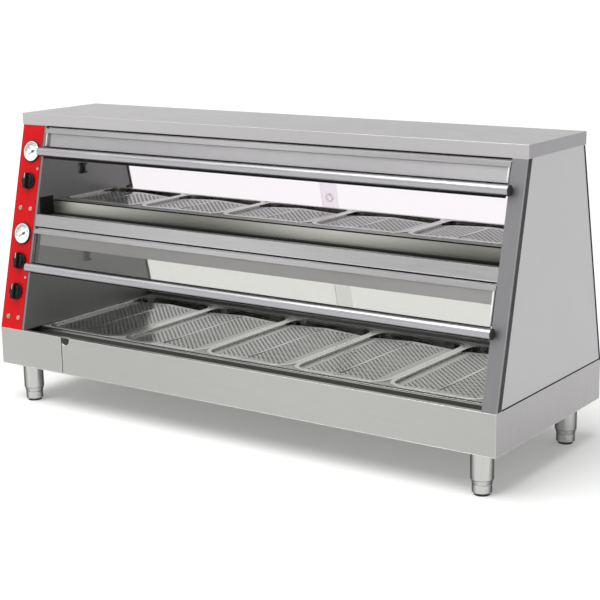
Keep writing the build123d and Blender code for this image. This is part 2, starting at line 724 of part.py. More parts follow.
def gauge_case(height):
    """Round gauge body with its bezel, dial plate and needle bearing."""
    plane = front_plane(PANEL_X, height)
    inner = GAUGE_BODY - GAUGE_WALL
    case = disc(plane, GAUGE_BODY, -GAUGE_BODY_DEPTH, 0)
    case += disc(plane, GAUGE_BEZEL, 0, GAUGE_BEZEL_HEIGHT)
    case -= disc(plane, inner - LENS_SEAT, -DIAL_DROP, GAUGE_BEZEL_HEIGHT)
    case -= disc(plane, inner, GAUGE_BEZEL_HEIGHT - LENS_THICKNESS - LENS_SEAT, GAUGE_BEZEL_HEIGHT)
    case -= disc(plane, inner, -GAUGE_BODY_DEPTH + GAUGE_WALL, -DIAL_DROP - DIAL_THICKNESS)
    return case - disc(plane, NEEDLE_PIN + RUNNING_FIT, -DIAL_DROP - DIAL_THICKNESS, 0)


def gauge_lens(height):
    """Flat glass of a gauge, seated in the bezel."""
    plane = front_plane(PANEL_X, height)
    low = GAUGE_BEZEL_HEIGHT - LENS_THICKNESS - LENS_SEAT
    return disc(plane, GAUGE_BODY - GAUGE_WALL - CAP_PLAY, low, low + LENS_THICKNESS)


def needle(height):
    """Gauge needle with a balanced tail and its pin, at the low end of its scale."""
    plane = front_plane(PANEL_X, height) * Rot(0, 0, NEEDLE_REST_ANGLE)
    low = -DIAL_DROP + NEEDLE_LIFT
    mid = low + NEEDLE_THICKNESS / 2
    body = plane * Pos(0, NEEDLE_LENGTH / 2, mid) * Box(NEEDLE_WIDTH, NEEDLE_LENGTH, NEEDLE_THICKNESS)
    body += plane * Pos(0, -NEEDLE_TAIL / 2, mid) * Box(NEEDLE_TAIL_WIDTH, NEEDLE_TAIL, NEEDLE_THICKNESS)
    body += disc(plane, NEEDLE_HUB, low, low + 2 * NEEDLE_THICKNESS)
    return body + disc(plane, NEEDLE_PIN, -DIAL_DROP - DIAL_THICKNESS, low)


def thermostat(height):
    """Switch body behind the panel, with its bush through the panel."""
    plane = front_plane(PANEL_X, height)
    centre = -PANEL_SHEET - THERMOSTAT_DEPTH / 2
    body = plane * Pos(0, 0, centre) * Box(THERMOSTAT_SIZE, THERMOSTAT_SIZE, THERMOSTAT_DEPTH)
    body += disc(plane, THERMOSTAT_BUSH, -PANEL_SHEET, 0)
    return body - disc(plane, SHAFT_RADIUS + RUNNING_FIT, -SHAFT_REACH - SHEET, 0)


def knob(height):
    """Round skirt with a bar grip, and the shaft that it turns."""
    plane = front_plane(PANEL_X, height)
    skirt = disc(plane, KNOB_RADIUS, KNOB_GAP, KNOB_GAP + KNOB_SKIRT)
    drum = disc(plane, KNOB_RADIUS - KNOB_SKIRT / 2, KNOB_GAP, KNOB_HEIGHT)
    length = 2 * KNOB_RADIUS
    middle = (KNOB_HEIGHT + KNOB_GAP) / 2
    grip = plane * Pos(0, 0, middle) * Box(KNOB_GRIP_WIDTH, length, KNOB_HEIGHT - KNOB_GAP)
    body = skirt + (drum & grip)
    return body + disc(plane, SHAFT_RADIUS, -SHAFT_REACH, KNOB_GAP)


def pilot_lamp(x, height):
    """Round lens on a body that passes through the panel."""
    plane = front_plane(x, height)
    lens = disc(plane, LAMP_RADIUS, 0, LAMP_DOME / 2)
    lens += disc(plane, LAMP_RADIUS - LAMP_DOME / 4, LAMP_DOME / 2, LAMP_DOME)
    return lens + disc(plane, LAMP_BODY, -LAMP_BODY_DEPTH, 0)


def panel_screw(height):
    """Pan-head screw at the inner edge of the control panel."""
    plane = front_plane(INNER_LEFT - SCREW_EDGE, height)
    head = disc(plane, SCREW_HEAD, 0, SCREW_HEAD_HEIGHT)
    return head + disc(plane, SCREW_SHANK, -SCREW_LENGTH, 0)


def leg_nut(x, y):
    """Nut on a leg's stud, on top of the base floor."""
    nut = hexagon(x, y, NUT_RADIUS, Z_FLOOR_TOP, Z_FLOOR_TOP + NUT_HEIGHT)
    return nut - Pos(x, y, Z_FLOOR_TOP) * Cylinder(LEG_STUD + RUNNING_FIT, BASE_HEIGHT)


def fasteners():
    """Panel screws and leg nuts."""
    screws = [panel_screw(height) for height in SCREW_HEIGHTS]
    return screws + [leg_nut(x, y) for x, y in leg_centres()]


def leg_tube(x, y):
    """Round leg with its top disc, stud and the threaded bush for the foot."""
    length = Z_BASE - FOOT_HEIGHT
    middle = (Z_BASE + FOOT_HEIGHT) / 2
    tube = Pos(x, y, middle) * Cylinder(LEG_RADIUS, length)
    tube -= Pos(x, y, middle) * Cylinder(LEG_RADIUS - LEG_WALL, length - 2 * LEG_DISC)
    low_disc = FOOT_HEIGHT + LEG_DISC / 2
    tube -= Pos(x, y, low_disc) * Cylinder(LEG_RADIUS - LEG_WALL, LEG_DISC)
    bush_mid = FOOT_HEIGHT + LEG_BUSH_LIFT + LEG_BUSH / 2
    bush = Pos(x, y, bush_mid) * Cylinder(LEG_RADIUS - LEG_WALL, LEG_BUSH)
    tube += bush - Pos(x, y, bush_mid) * Cylinder(FOOT_STEM + RUNNING_FIT, LEG_BUSH)
    stud_mid = Z_BASE + LEG_STUD_LENGTH / 2
    return tube + Pos(x, y, stud_mid) * Cylinder(LEG_STUD, LEG_STUD_LENGTH)


def levelling_foot(x, y):
    """Tapered foot on a stem that screws into the leg."""
    outline = [
        (0, 0),
        (FOOT_SOLE, 0),
        (FOOT_RADIUS, FOOT_SOLE_RISE),
        (FOOT_RADIUS, FOOT_HEIGHT - FOOT_TAPER),
        (LEG_RADIUS - LEG_WALL / 2, FOOT_HEIGHT),
        (FOOT_STEM, FOOT_HEIGHT),
        (FOOT_STEM, FOOT_HEIGHT + FOOT_STEM_LENGTH),
        (0, FOOT_HEIGHT + FOOT_STEM_LENGTH),
    ]
    face = make_face(Polyline(*[(r, 0, z) for r, z in outline], close=True))
    return Pos(x, y, 0) * revolve(face, axis=Axis.Z)


def cable_gland():
    """Cable entry in the base floor with its lock nut. Its bore faces down."""
    place = Pos(GLAND_X, GLAND_Y, 0)
    hex_low = Z_BASE - GLAND_HEX_HEIGHT
    stem_top = Z_FLOOR_TOP + GLAND_STEM
    dome_mid = hex_low - GLAND_DOME_HEIGHT / 2
    gland = hexagon(GLAND_X, GLAND_Y, GLAND_HEX, hex_low, Z_BASE)
    gland += place * Pos(0, 0, dome_mid) * Cylinder(GLAND_DOME, GLAND_DOME_HEIGHT)
    gland += place * Pos(0, 0, (Z_BASE + stem_top) / 2) * Cylinder(GLAND_THREAD, stem_top - Z_BASE)
    gland -= place * Pos(0, 0, Z_BASE) * Cylinder(GLAND_BORE, 2 * BASE_HEIGHT)
    nut = hexagon(GLAND_X, GLAND_Y, GLAND_HEX, Z_FLOOR_TOP, Z_FLOOR_TOP + GLAND_NUT_HEIGHT)
    nut -= place * Pos(0, 0, Z_BASE) * Cylinder(GLAND_THREAD + RUNNING_FIT, BASE_HEIGHT)
    return [gland, nut]


def heating_elements():
    """Tubular heating elements: two above each tier and three in the base."""
    x0 = INNER_LEFT - ELEMENT_OVERRUN
    x1 = INNER_RIGHT + ELEMENT_OVERRUN
    rods = [tube_along_x(x0, x1, y, z, ELEMENT_RADIUS) for y, z in heater_lines()]
    end = HALF_WIDTH - BASE_ELEMENT_END
    rods += [tube_along_x(-end, end, y, z, ELEMENT_RADIUS) for y, z in base_heater_lines()]
    return rods


def track_depth():
    """Inset of the inner side of a two-groove door track."""
    return TRACK_INSET + 3 * TRACK_WALL + 2 * (DOOR_GLASS + 2 * DOOR_PLAY)


def door_track(floor_low, floor_high, wall_low, wall_high):
    """Two-groove track, from the climbs of its floor and of its three walls."""
    track = rear_slab(SPAN_LEFT, SPAN_RIGHT, floor_low, floor_high, TRACK_INSET, track_depth())
    groove = DOOR_GLASS + 2 * DOOR_PLAY
    for index in range(3):
        inset = TRACK_INSET + index * (TRACK_WALL + groove)
        track += rear_slab(SPAN_LEFT, SPAN_RIGHT, wall_low, wall_high, inset, inset + TRACK_WALL)
    return track


def door_tracks():
    """Lower and upper door tracks of both tiers."""
    tracks = []
    for low in (climb(SILL_HIGH), climb(MID_BEAM_HIGH)):
        tracks.append(door_track(low, low + TRACK_FLOOR, low, low + TRACK_LOW_HEIGHT))
    for high in (climb(MID_BEAM_LOW), climb(HEADER_LOW)):
        tracks.append(door_track(high - TRACK_FLOOR, high, high - TRACK_HIGH_HEIGHT, high))
    return tracks


def sliding_door(low_height, high_height, on_left, pull_rise):
    """Glass door and its cup pull. The left door runs in the outer groove."""
    low = climb(low_height) + TRACK_FLOOR + FIT
    high = climb(high_height) - TRACK_FLOOR - DOOR_TOP_PLAY
    middle = (INNER_LEFT + INNER_RIGHT) / 2
    if on_left:
        x0, x1 = INNER_LEFT + DOOR_END_GAP, middle + DOOR_OVERLAP / 2
        x_pull = x1 - PULL_EDGE
        inset = TRACK_INSET + TRACK_WALL + DOOR_PLAY
    else:
        x0, x1 = middle - DOOR_OVERLAP / 2, INNER_RIGHT - DOOR_END_GAP
        x_pull = x1 - PULL_EDGE
        inset = TRACK_INSET + 2 * TRACK_WALL + DOOR_GLASS + 3 * DOOR_PLAY
    glass = rear_slab(x0, x1, low, high, inset, inset + DOOR_GLASS)
    centre = rear_plane() * Pos(-x_pull, low + pull_rise, -inset - DOOR_GLASS / 2)
    barrel = PULL_RADIUS - PULL_FLANGE
    glass -= centre * Cylinder(barrel + CAP_PLAY, 2 * DOOR_GLASS)
    ring = centre * Cylinder(barrel, DOOR_GLASS)
    for side in (-1, 1):
        shift = side * (DOOR_GLASS + PULL_PROUD) / 2
        ring += centre * Pos(0, 0, shift) * Cylinder(PULL_RADIUS, PULL_PROUD)
    cup = centre * Cylinder(PULL_BORE, 2 * DOOR_GLASS) - centre * Cylinder(PULL_BORE, PULL_WEB)
    return [glass, ring - cup]


def pan(index, y_front, length, corner, z_seat):
    """Open pan with a flat rim that hangs in the deck."""
    x_mid = pan_centre_x(index)
    y_mid = y_front + length / 2
    width = PAN_WIDTH - 2 * PAN_RIM
    span = length - 2 * PAN_RIM
    top = z_seat + PAN_SHEET
    low = z_seat - PAN_DEPTH
    body = rounded_block(x_mid, y_mid, width, span, corner, low, top)
    body += rounded_block(x_mid, y_mid, PAN_WIDTH, length, corner + PAN_RIM, z_seat, top)
    hollow_width = width - 2 * PAN_SHEET
    hollow_span = span - 2 * PAN_SHEET
    radius = corner - PAN_SHEET
    return body - rounded_block(x_mid, y_mid, hollow_width, hollow_span, radius, low + PAN_SHEET, top)


def insert(index, y_front, length, corner, rear_gap, z_seat):
    """Perforated tray insert, folded to a low ridge, that stands on the pan's floor."""
    x_mid = pan_centre_x(index)
    width = PAN_WIDTH - 2 * (PAN_RIM + PAN_SHEET + INSERT_CLEARANCE)
    floor = z_seat - PAN_DEPTH + PAN_SHEET
    ridge = z_seat + PAN_SHEET - INSERT_RIDGE_DROP
    eave = ridge - INSERT_FALL
    half = width / 2
    path = [
        (x_mid + half, floor),
        (x_mid + half, eave),
        (x_mid, ridge),
        (x_mid - half, eave),
        (x_mid - half, floor),
    ]
    y0 = y_front + PAN_RIM + PAN_SHEET + INSERT_FRONT_GAP
    y1 = y_front + length - PAN_RIM - PAN_SHEET - rear_gap
    tray = prism_y(sheet_outline(path, INSERT_SHEET), y0, y1)
    trim = rounded_block(
        x_mid, (y0 + y1) / 2, width, y1 - y0, corner - PAN_SHEET, floor, ridge
    )
    return tray & trim


def flap_climb(support_z, handle_height):
    """Distance down the front slope from a flap's hinge line to its handle."""
    return (support_z - HINGE_DROP - Z_DECK - handle_height) / math.cos(FRONT_LEAN)


def flap_studs():
    """X of each handle stud."""
    span = INNER_RIGHT - INNER_LEFT
    middle = (INNER_RIGHT + INNER_LEFT) / 2
    step = span / HANDLE_STUD_COUNT
    return [middle + (i - (HANDLE_STUD_COUNT - 1) / 2) * step for i in range(HANDLE_STUD_COUNT)]


def flap_glass(support_z, handle_height):
    """Glass pane of a flap, with holes for the handle studs."""
    drop = flap_climb(support_z, handle_height)
    plane = front_plane(0, support_z - HINGE_DROP - Z_DECK)
    top = -HINGE_TOP - HINGE_SLOT_PLAY
    low = -drop - HANDLE_EDGE
    x0 = INNER_LEFT + FLAP_SIDE_GAP
    x1 = INNER_RIGHT - FLAP_SIDE_GAP
    pane = plane * Pos((x0 + x1) / 2, (top + low) / 2, -FLAP_GLASS / 2) * Box(x1 - x0, top - low, FLAP_GLASS)
    for x in flap_studs():
        pane -= disc(plane, HANDLE_STUD + CAP_PLAY, -2 * FLAP_GLASS, FLAP_GLASS, x, -drop)
    return pane


def flap_hinge(support_z):
    """Slotted bar that grips the glass, with a pin at each end."""
    plane = front_plane(0, support_z - HINGE_DROP - Z_DECK)
    x0 = INNER_LEFT + HINGE_END_GAP
    x1 = INNER_RIGHT - HINGE_END_GAP
    inner = -PIN_DEPTH - PIN_RADIUS - FIT
    outer = HINGE_WALL + HINGE_SLOT_PLAY
    middle = Pos((x0 + x1) / 2, (HINGE_TOP - HINGE_BOTTOM) / 2, (inner + outer) / 2)
    bar = plane * middle * Box(x1 - x0, HINGE_TOP + HINGE_BOTTOM, outer - inner)
    slot_mid = Pos((x0 + x1) / 2, -(HINGE_TOP + HINGE_BOTTOM) / 2, -FLAP_GLASS / 2)
    bar -= plane * slot_mid * Box(x1 - x0, HINGE_BOTTOM - HINGE_TOP, FLAP_GLASS + 2 * HINGE_SLOT_PLAY)
    y, z = hinge_point(support_z)
    return bar + tube_along_x(x0 - PIN_REACH, x1 + PIN_REACH, y, z, PIN_RADIUS)


def flap_handle(support_z, handle_height):
    """Tube handle with its studs and washers, and a plug in each end."""
    drop = flap_climb(support_z, handle_height)
    plane = front_plane(0, support_z - HINGE_DROP - Z_DECK)
    x0 = INNER_LEFT + HANDLE_LEFT_LAP
    x1 = INNER_RIGHT + HANDLE_RIGHT_LAP
    axis = plane * Pos((x0 + x1) / 2, -drop, HANDLE_STAND_OFF) * Rot(0, 90, 0)
    bore = HANDLE_RADIUS - HANDLE_WALL
    tube = axis * Cylinder(HANDLE_RADIUS, x1 - x0)
    for x in flap_studs():
        tube += disc(plane, HANDLE_WASHER, 0, HANDLE_STAND_OFF - bore, x, -drop)
        tube += disc(plane, HANDLE_STUD, -FLAP_GLASS, 0, x, -drop)
        tube += disc(plane, HANDLE_WASHER, -FLAP_GLASS - WASHER_THICKNESS, -FLAP_GLASS, x, -drop)
    tube -= axis * Cylinder(bore, x1 - x0)
    plugs = []
    for side in (-1, 1):
        end = axis * Pos(0, 0, side * (x1 - x0) / 2)
        plug = end * Pos(0, 0, side * CAP_FLANGE / 2) * Cylinder(HANDLE_RADIUS, CAP_FLANGE)
        plug += end * Pos(0, 0, -side * CAP_PLUG / 2) * Cylinder(bore - CAP_PLAY, CAP_PLUG)
        plugs.append(plug)
    return [tube] + plugs


def probe_clip(height):
    """Small clip on the left wall that holds a temperature sensor."""
    z0 = Z_DECK + height
    z1 = z0 + CLIP_TALL
    half = CLIP_WIDE / 2
    stem = CLIP_STEM / 2
    x1 = INNER_LEFT + CLIP_DEEP
    clip = block(INNER_LEFT, x1, CLIP_Y - stem, CLIP_Y + stem, z0, z1)
    clip += block(INNER_LEFT, x1, CLIP_Y - half, CLIP_Y + half, z0, z0 + CLIP_BAR)
    return clip + block(INNER_LEFT, x1, CLIP_Y - half, CLIP_Y + half, z1 - CLIP_BAR, z1)


def build_nodes():
    """Every piece of the cabinet by name."""
    nodes = {
        "base_shell": [base_shell()],
        "base_floor": [base_floor()],
        "service_cover": [service_cover()],
        "lower_deck": [lower_deck()],
        "upper_deck": [upper_deck()],
        "mid_front_rail": [mid_front_rail()],
        "column_left": [column_left()],
        "column_right": [column_right()],
        "side_panel_left": [side_panel(-1)],
        "side_panel_right": [side_panel(1)],
        "control_panel": [control_panel()],
        "roof_cover": [roof_cover()],
        "upper_heater_housing": [upper_heater_housing()],
        "lower_heater_housing": [lower_heater_housing()],
        "heating_elements": heating_elements(),
        "door_tracks": door_tracks(),
        "gauge_cases": [gauge_case(height) for height in GAUGE_HEIGHTS],
        "gauge_lenses": [gauge_lens(height) for height in GAUGE_HEIGHTS],
        "thermostats": [thermostat(height) for height in KNOB_HEIGHTS],
        "pilot_lamps": [pilot_lamp(x, height) for x, height in lamp_places()],
        "probe_clips": [probe_clip(height) for height in CLIP_HEIGHTS],
        "fasteners": fasteners(),
        "cable_gland": cable_gland(),
        "leg_tubes": [leg_tube(x, y) for x, y in leg_centres()],
        "levelling_feet": [levelling_foot(x, y) for x, y in leg_centres()],
    }
    for name, support_z, handle in (
        ("upper", Z_ROOF, UPPER_HANDLE_SHARE * BODY_HEIGHT),
        ("lower", Z_RAIL_LOW, LOWER_HANDLE_SHARE * BODY_HEIGHT),
    ):
        nodes[name + "_flap_glass"] = [flap_glass(support_z, handle)]
        nodes[name + "_flap_hinge"] = [flap_hinge(support_z)]
        nodes[name + "_flap_handle"] = flap_handle(support_z, handle)
    for name, low, high, rise in (
        ("upper", MID_BEAM_HIGH, HEADER_LOW, UPPER_PULL_RISE),
        ("lower", SILL_HIGH, MID_BEAM_LOW, LOWER_PULL_RISE),
    ):
        nodes[name + "_door_left"] = sliding_door(low, high, True, rise)
        nodes[name + "_door_right"] = sliding_door(low, high, False, rise)
    upper = (UPPER_PAN_FRONT, UPPER_PAN_LENGTH, UPPER_PAN_CORNER, UPPER_INSERT_REAR_GAP, Z_UPPER_SEAT)
    lower = (LOWER_PAN_FRONT, LOWER_PAN_LENGTH, LOWER_PAN_CORNER, LOWER_INSERT_REAR_GAP, Z_LOWER_SEAT)
    for name, (y_front, length, corner, rear_gap, z_seat) in (("upper", upper), ("lower", lower)):
        for index in range(PAN_COUNT):
            tray = insert(index, y_front, length, corner, rear_gap, z_seat)
            nodes[f"{name}_pan_{index + 1}"] = [pan(index, y_front, length, corner, z_seat)]
            nodes[f"{name}_insert_{index + 1}"] = [tray]
    for name, height in zip(("upper", "middle", "lower"), KNOB_HEIGHTS):
        nodes[name + "_knob"] = [knob(height)]
    for name, height in zip(("upper", "lower"), GAUGE_HEIGHTS):
        nodes[name + "_needle"] = [needle(height)]
    return nodes


def write_nodes():
    """Write each piece to its own file."""
    os.makedirs("parts", exist_ok=True)
    for name, solids in build_nodes().items():
        shapes = [solid for item in solids for solid in item.solids()]
        shape = shapes[0] if len(shapes) == 1 else Compound(children=shapes)
        export_step(shape, os.path.join("parts", name + ".step"))


write_nodes()
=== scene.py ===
"""Finishes and fine pieces of a two-tier heated display cabinet, in metres."""

import json
import logging
import math
from dataclasses import dataclass, field
from enum import Enum
from typing import Iterable, Mapping, Optional, Sequence

import bmesh
import bpy
from mathutils import Euler, Matrix, Vector

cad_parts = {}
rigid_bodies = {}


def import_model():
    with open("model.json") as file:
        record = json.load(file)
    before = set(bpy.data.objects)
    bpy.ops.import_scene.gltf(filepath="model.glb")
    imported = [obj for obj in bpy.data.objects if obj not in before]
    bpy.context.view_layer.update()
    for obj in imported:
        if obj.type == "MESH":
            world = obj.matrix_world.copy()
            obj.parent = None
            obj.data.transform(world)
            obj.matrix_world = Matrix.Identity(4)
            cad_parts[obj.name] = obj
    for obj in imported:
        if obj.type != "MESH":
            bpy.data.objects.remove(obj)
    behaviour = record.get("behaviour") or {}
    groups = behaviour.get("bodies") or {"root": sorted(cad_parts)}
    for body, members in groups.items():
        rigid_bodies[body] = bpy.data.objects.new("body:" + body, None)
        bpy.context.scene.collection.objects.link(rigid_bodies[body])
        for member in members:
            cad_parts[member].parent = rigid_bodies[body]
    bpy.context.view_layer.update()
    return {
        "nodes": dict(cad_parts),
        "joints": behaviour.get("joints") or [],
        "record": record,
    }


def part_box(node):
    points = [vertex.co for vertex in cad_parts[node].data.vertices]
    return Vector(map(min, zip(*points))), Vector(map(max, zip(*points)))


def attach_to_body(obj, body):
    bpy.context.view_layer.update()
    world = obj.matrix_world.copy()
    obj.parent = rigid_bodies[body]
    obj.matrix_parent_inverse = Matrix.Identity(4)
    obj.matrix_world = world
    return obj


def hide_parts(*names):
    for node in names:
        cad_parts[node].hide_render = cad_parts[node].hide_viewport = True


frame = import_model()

LOG = logging.getLogger("cabinet")
MM = 0.001
FULL_TURN = 2 * math.pi
REAR_LEAN = math.atan2(120.0, 539.0)
UPRIGHT = Matrix.Identity(4)
WHITE = "#FFFFFF"
# Pale grey of the painted highlight along edges.
EDGE_HIGHLIGHT = "#F2F2EF"
# Share of a face normal along an axis past which the face counts as turned that way.
TURNED_SHARE = 0.75
CABINET = "cabinet"
TIERS = ("upper", "lower")
PANS_PER_TIER = 5


def linear(code: str) -> tuple[float, float, float, float]:
    """Turns an sRGB hex code into linear colour.

    Args:
        code: Six hex digits with a leading hash.

    Returns:
        Linear red, green, blue and an alpha of one.
    """
    channels = []
    for start in (1, 3, 5):
        value = int(code[start:start + 2], 16) / 255
        channels.append(value / 12.92 if value <= 0.04045 else ((value + 0.055) / 1.055) ** 2.4)
    return channels[0], channels[1], channels[2], 1.0


def add_node(
    tree: bpy.types.NodeTree,
    kind: str,
    settings: Optional[Mapping[str, object]] = None,
    inputs: Optional[Mapping[object, object]] = None,
) -> bpy.types.Node:
    """Adds a node, sets its options and fills or links its inputs.

    Args:
        tree: Node tree that takes the node.
        kind: Node type.
        settings: Attribute values by name.
        inputs: Values or output sockets, by socket name or number.

    Returns:
        The new node.
    """
    node = tree.nodes.new(kind)
    for key, value in (settings or {}).items():
        setattr(node, key, value)
    for key, value in (inputs or {}).items():
        socket = node.inputs[key]
        if isinstance(value, bpy.types.NodeSocket):
            tree.links.new(value, socket)
        else:
            socket.default_value = value
    return node


def blend(
    tree: bpy.types.NodeTree, share: object, first: object, second: object
) -> bpy.types.NodeSocket:
    """Adds a mix of two colours and gives its output."""
    node = add_node(tree, "ShaderNodeMix", {"data_type": "RGBA"}, {0: share, 6: first, 7: second})
    return node.outputs[2]


def calc(tree: bpy.types.NodeTree, operation: str, *values: object) -> bpy.types.NodeSocket:
    """Adds a sum on one or more values and gives its output."""
    return add_node(tree, "ShaderNodeMath", {"operation": operation}, dict(enumerate(values))).outputs[0]


def dot(tree: bpy.types.NodeTree, first: object, second: object) -> bpy.types.NodeSocket:
    """Adds a dot product and gives its output."""
    node = add_node(tree, "ShaderNodeVectorMath", {"operation": "DOT_PRODUCT"}, {0: first, 1: second})
    return node.outputs["Value"]


def remap(
    tree: bpy.types.NodeTree, value: bpy.types.NodeSocket, limits: Mapping[str, float]
) -> bpy.types.NodeSocket:
    """Adds a map range, with its limits by socket name, and gives its output."""
    return add_node(tree, "ShaderNodeMapRange", None, {"Value": value, **limits}).outputs["Result"]


def object_coords(tree: bpy.types.NodeTree) -> bpy.types.NodeSocket:
    """Adds the object's own coordinates."""
    return add_node(tree, "ShaderNodeTexCoord").outputs["Object"]


def cloud(
    tree: bpy.types.NodeTree, coords: bpy.types.NodeSocket, scale: float, detail: float
) -> bpy.types.NodeSocket:
    """Adds soft noise and gives its value."""
    values = {"Vector": coords, "Scale": scale, "Detail": detail}
    return add_node(tree, "ShaderNodeTexNoise", None, values).outputs["Fac"]


def close_material(tree: bpy.types.NodeTree, shader: bpy.types.Node) -> None:
    """Links a shader to the material's output."""
    add_node(tree, "ShaderNodeOutputMaterial", None, {"Surface": shader.outputs[0]})


def new_material(name: str) -> tuple[bpy.types.Material, bpy.types.NodeTree]:
    """Makes an empty node material.

    Args:
        name: Name of the finish.

    Returns:
        The material and its cleared node tree.
    """
    material = bpy.data.materials.new(name)
    material.use_nodes = True
    material.node_tree.nodes.clear()
    return material, material.node_tree


class Grain(Enum):
    """Direction in which a metal surface was brushed or drawn."""

    ALONG_X = (0.02, 1.0, 1.0)
    ALONG_Z = (1.0, 1.0, 0.02)
    UP_SLOPE = (1.0, 0.02, 0.02)


@dataclass(frozen=True)
class BrushedMetal:
    """Metal sheet or tube with a directional grain, rounded edges and faint handling marks, with painted
    edge highlights, painted side shades, painted reflection bands and painted shade towards a tube's
    outline.
    """

    name: str
    shade: str
    sheen: str
    roughness: float
    grain_mm: float = 1.6
    grain_depth: float = 0.10
    front: Grain = Grain.ALONG_X
    flank: Grain = Grain.ALONG_Z
    edge_mm: float = 0.9
    # Strength of the painted highlight along edges.
    edge_shine: float = 0.5
    bump: float = 0.12
    # Painted shade: a colour of its own for faces turned along each given axis.
    turned: tuple[tuple[tuple[float, float, float], str], ...] = ()
    # Painted reflection: broad light and dark bands across the length, darkest in band_shade.
    bands: float = 0.0
    band_length: float = 1.0
    band_crest: float = 0.0
    band_shade: str = "#3E3E3B"
    # Painted shade towards a round tube's outline, over the facing range of rim_reach.
    rim_shade: str = ""
    rim_reach: tuple[float, float] = (0.42, 0.78)
    metallic: float = 1.0

    def streaks(self, tree: bpy.types.NodeTree, grain: Grain) -> bpy.types.NodeSocket:
        """Adds the brush lines of one direction.

        Args:
            tree: The material's tree.
            grain: Direction of the lines.

        Returns:
            A value from 0 to 1 that runs in long thin lines.
        """
        coords = object_coords(tree)
        scale = tuple(share / (self.grain_mm * MM) for share in grain.value)
        mapping = add_node(tree, "ShaderNodeMapping", None, {"Vector": coords, "Scale": scale})
        noise = add_node(
            tree, "ShaderNodeTexNoise", None,
            {"Vector": mapping.outputs["Vector"], "Scale": 1.0, "Detail": 3.0, "Roughness": 0.6},
        )
        return noise.outputs["Fac"]

    def build(self) -> bpy.types.Material:
        """Builds the finish as a node material."""
        material, tree = new_material(self.name)
        normal = add_node(tree, "ShaderNodeNewGeometry").outputs["Normal"]
        parts = add_node(tree, "ShaderNodeSeparateXYZ", None, {"Vector": normal})
        flank = calc(tree, "GREATER_THAN", calc(tree, "ABSOLUTE", parts.outputs["X"]), TURNED_SHARE)
        lines = add_node(
            tree, "ShaderNodeMix", None,
            {0: flank, 2: self.streaks(tree, self.front), 3: self.streaks(tree, self.flank)},
        ).outputs[0]
        coords = object_coords(tree)
        rounded = add_node(tree, "ShaderNodeBevel", {"samples": 4}, {"Radius": self.edge_mm * MM})
        # Painted highlight: bent and deburred edges are drawn brighter than the face, towards a pale grey,
        # as where they catch the light.
        edge = remap(
            tree, dot(tree, rounded.outputs["Normal"], normal),
            {"From Min": 0.98, "From Max": 0.80, "To Max": self.edge_shine},
        )
        tone = blend(tree, lines, linear(self.shade), linear(self.sheen))
        for way, shade in self.turned:
            # Painted shade: faces turned each given way get a colour of their own, lighter or darker as the
            # light falls on that side.
            side = calc(tree, "GREATER_THAN", dot(tree, normal, way), TURNED_SHARE)
            tone = blend(tree, side, tone, linear(shade))
        if self.bands:
            # Painted reflection: broad light and dark bands across the sheet's length, as a sheet that
            # isn't quite flat mirrors the room.
            across = add_node(tree, "ShaderNodeSeparateXYZ", None, {"Vector": coords}).outputs["X"]
            turn = FULL_TURN / self.band_length
            phase = calc(tree, "MULTIPLY_ADD", across, turn, math.pi / 2 - turn * self.band_crest)
            limits = {"From Min": -1.0, "From Max": 1.0, "To Min": self.bands, "To Max": 0.0}
            depth = remap(tree, calc(tree, "SINE", phase), limits)
            tone = blend(tree, depth, tone, linear(self.band_shade))
        if self.rim_shade:
            # Painted shade: a polished round tube is drawn darker towards its outline, as where it mirrors
            # dark surroundings.
            weight = add_node(tree, "ShaderNodeLayerWeight", None, {"Blend": 0.5}).outputs["Facing"]
            rim = remap(tree, weight, dict(zip(("From Min", "From Max"), self.rim_reach)))
            tone = blend(tree, rim, tone, linear(self.rim_shade))
        colour = blend(tree, edge, tone, linear(EDGE_HIGHLIGHT))
        low, high = self.roughness - self.grain_depth, self.roughness + self.grain_depth
        fine = remap(tree, lines, {"From Min": 0.3, "From Max": 0.7, "To Min": low, "To Max": high})
        # Handling marks and slight waviness of the sheet, about 140 mm across.
        broad = remap(tree, cloud(tree, coords, 7.0, 4.0), {"To Min": -0.05, "To Max": 0.05})
        bump = add_node(
            tree, "ShaderNodeBump", None,
            {"Strength": self.bump, "Distance": 0.05 * MM, "Height": lines,
             "Normal": rounded.outputs["Normal"]},
        )
        shader = add_node(
            tree, "ShaderNodeBsdfPrincipled", None,
            {"Base Color": colour, "Metallic": self.metallic, "Roughness": calc(tree, "ADD", fine, broad),
             "Normal": bump.outputs["Normal"]},
        )
        close_material(tree, shader)
        return material


@dataclass(frozen=True)
class Moulded:
    """Moulded, painted or printed surface with a fine grain and slight colour variation."""

    name: str
    shade: str
    sheen: str
    roughness: float
    grain_mm: float
    bump: float
    coat: float = 0.0
    specular: float = 0.5
    edge_mm: float = 0.4

    def build(self) -> bpy.types.Material:
        """Builds the finish as a node material."""
        material, tree = new_material(self.name)
        coords = object_coords(tree)
        grain = cloud(tree, coords, 1 / (self.grain_mm * MM), 3.0)
        # Slow variation of gloss and tone, about 50 mm across, as on any handled surface.
        colour = blend(tree, cloud(tree, coords, 20.0, 2.0), linear(self.shade), linear(self.sheen))
        low, high = max(self.roughness - 0.08, 0.02), self.roughness + 0.08
        roughness = remap(tree, grain, {"To Min": low, "To Max": high})
        rounded = add_node(tree, "ShaderNodeBevel", {"samples": 4}, {"Radius": self.edge_mm * MM})
        bump = add_node(
            tree, "ShaderNodeBump", None,
            {"Strength": self.bump, "Distance": 0.1 * MM, "Height": grain,
             "Normal": rounded.outputs["Normal"]},
        )
        shader = add_node(
            tree, "ShaderNodeBsdfPrincipled", None,
            {"Base Color": colour, "Roughness": roughness, "Coat Weight": self.coat,
             "Normal": bump.outputs["Normal"], "Specular IOR Level": self.specular},
        )
        close_material(tree, shader)
        return material


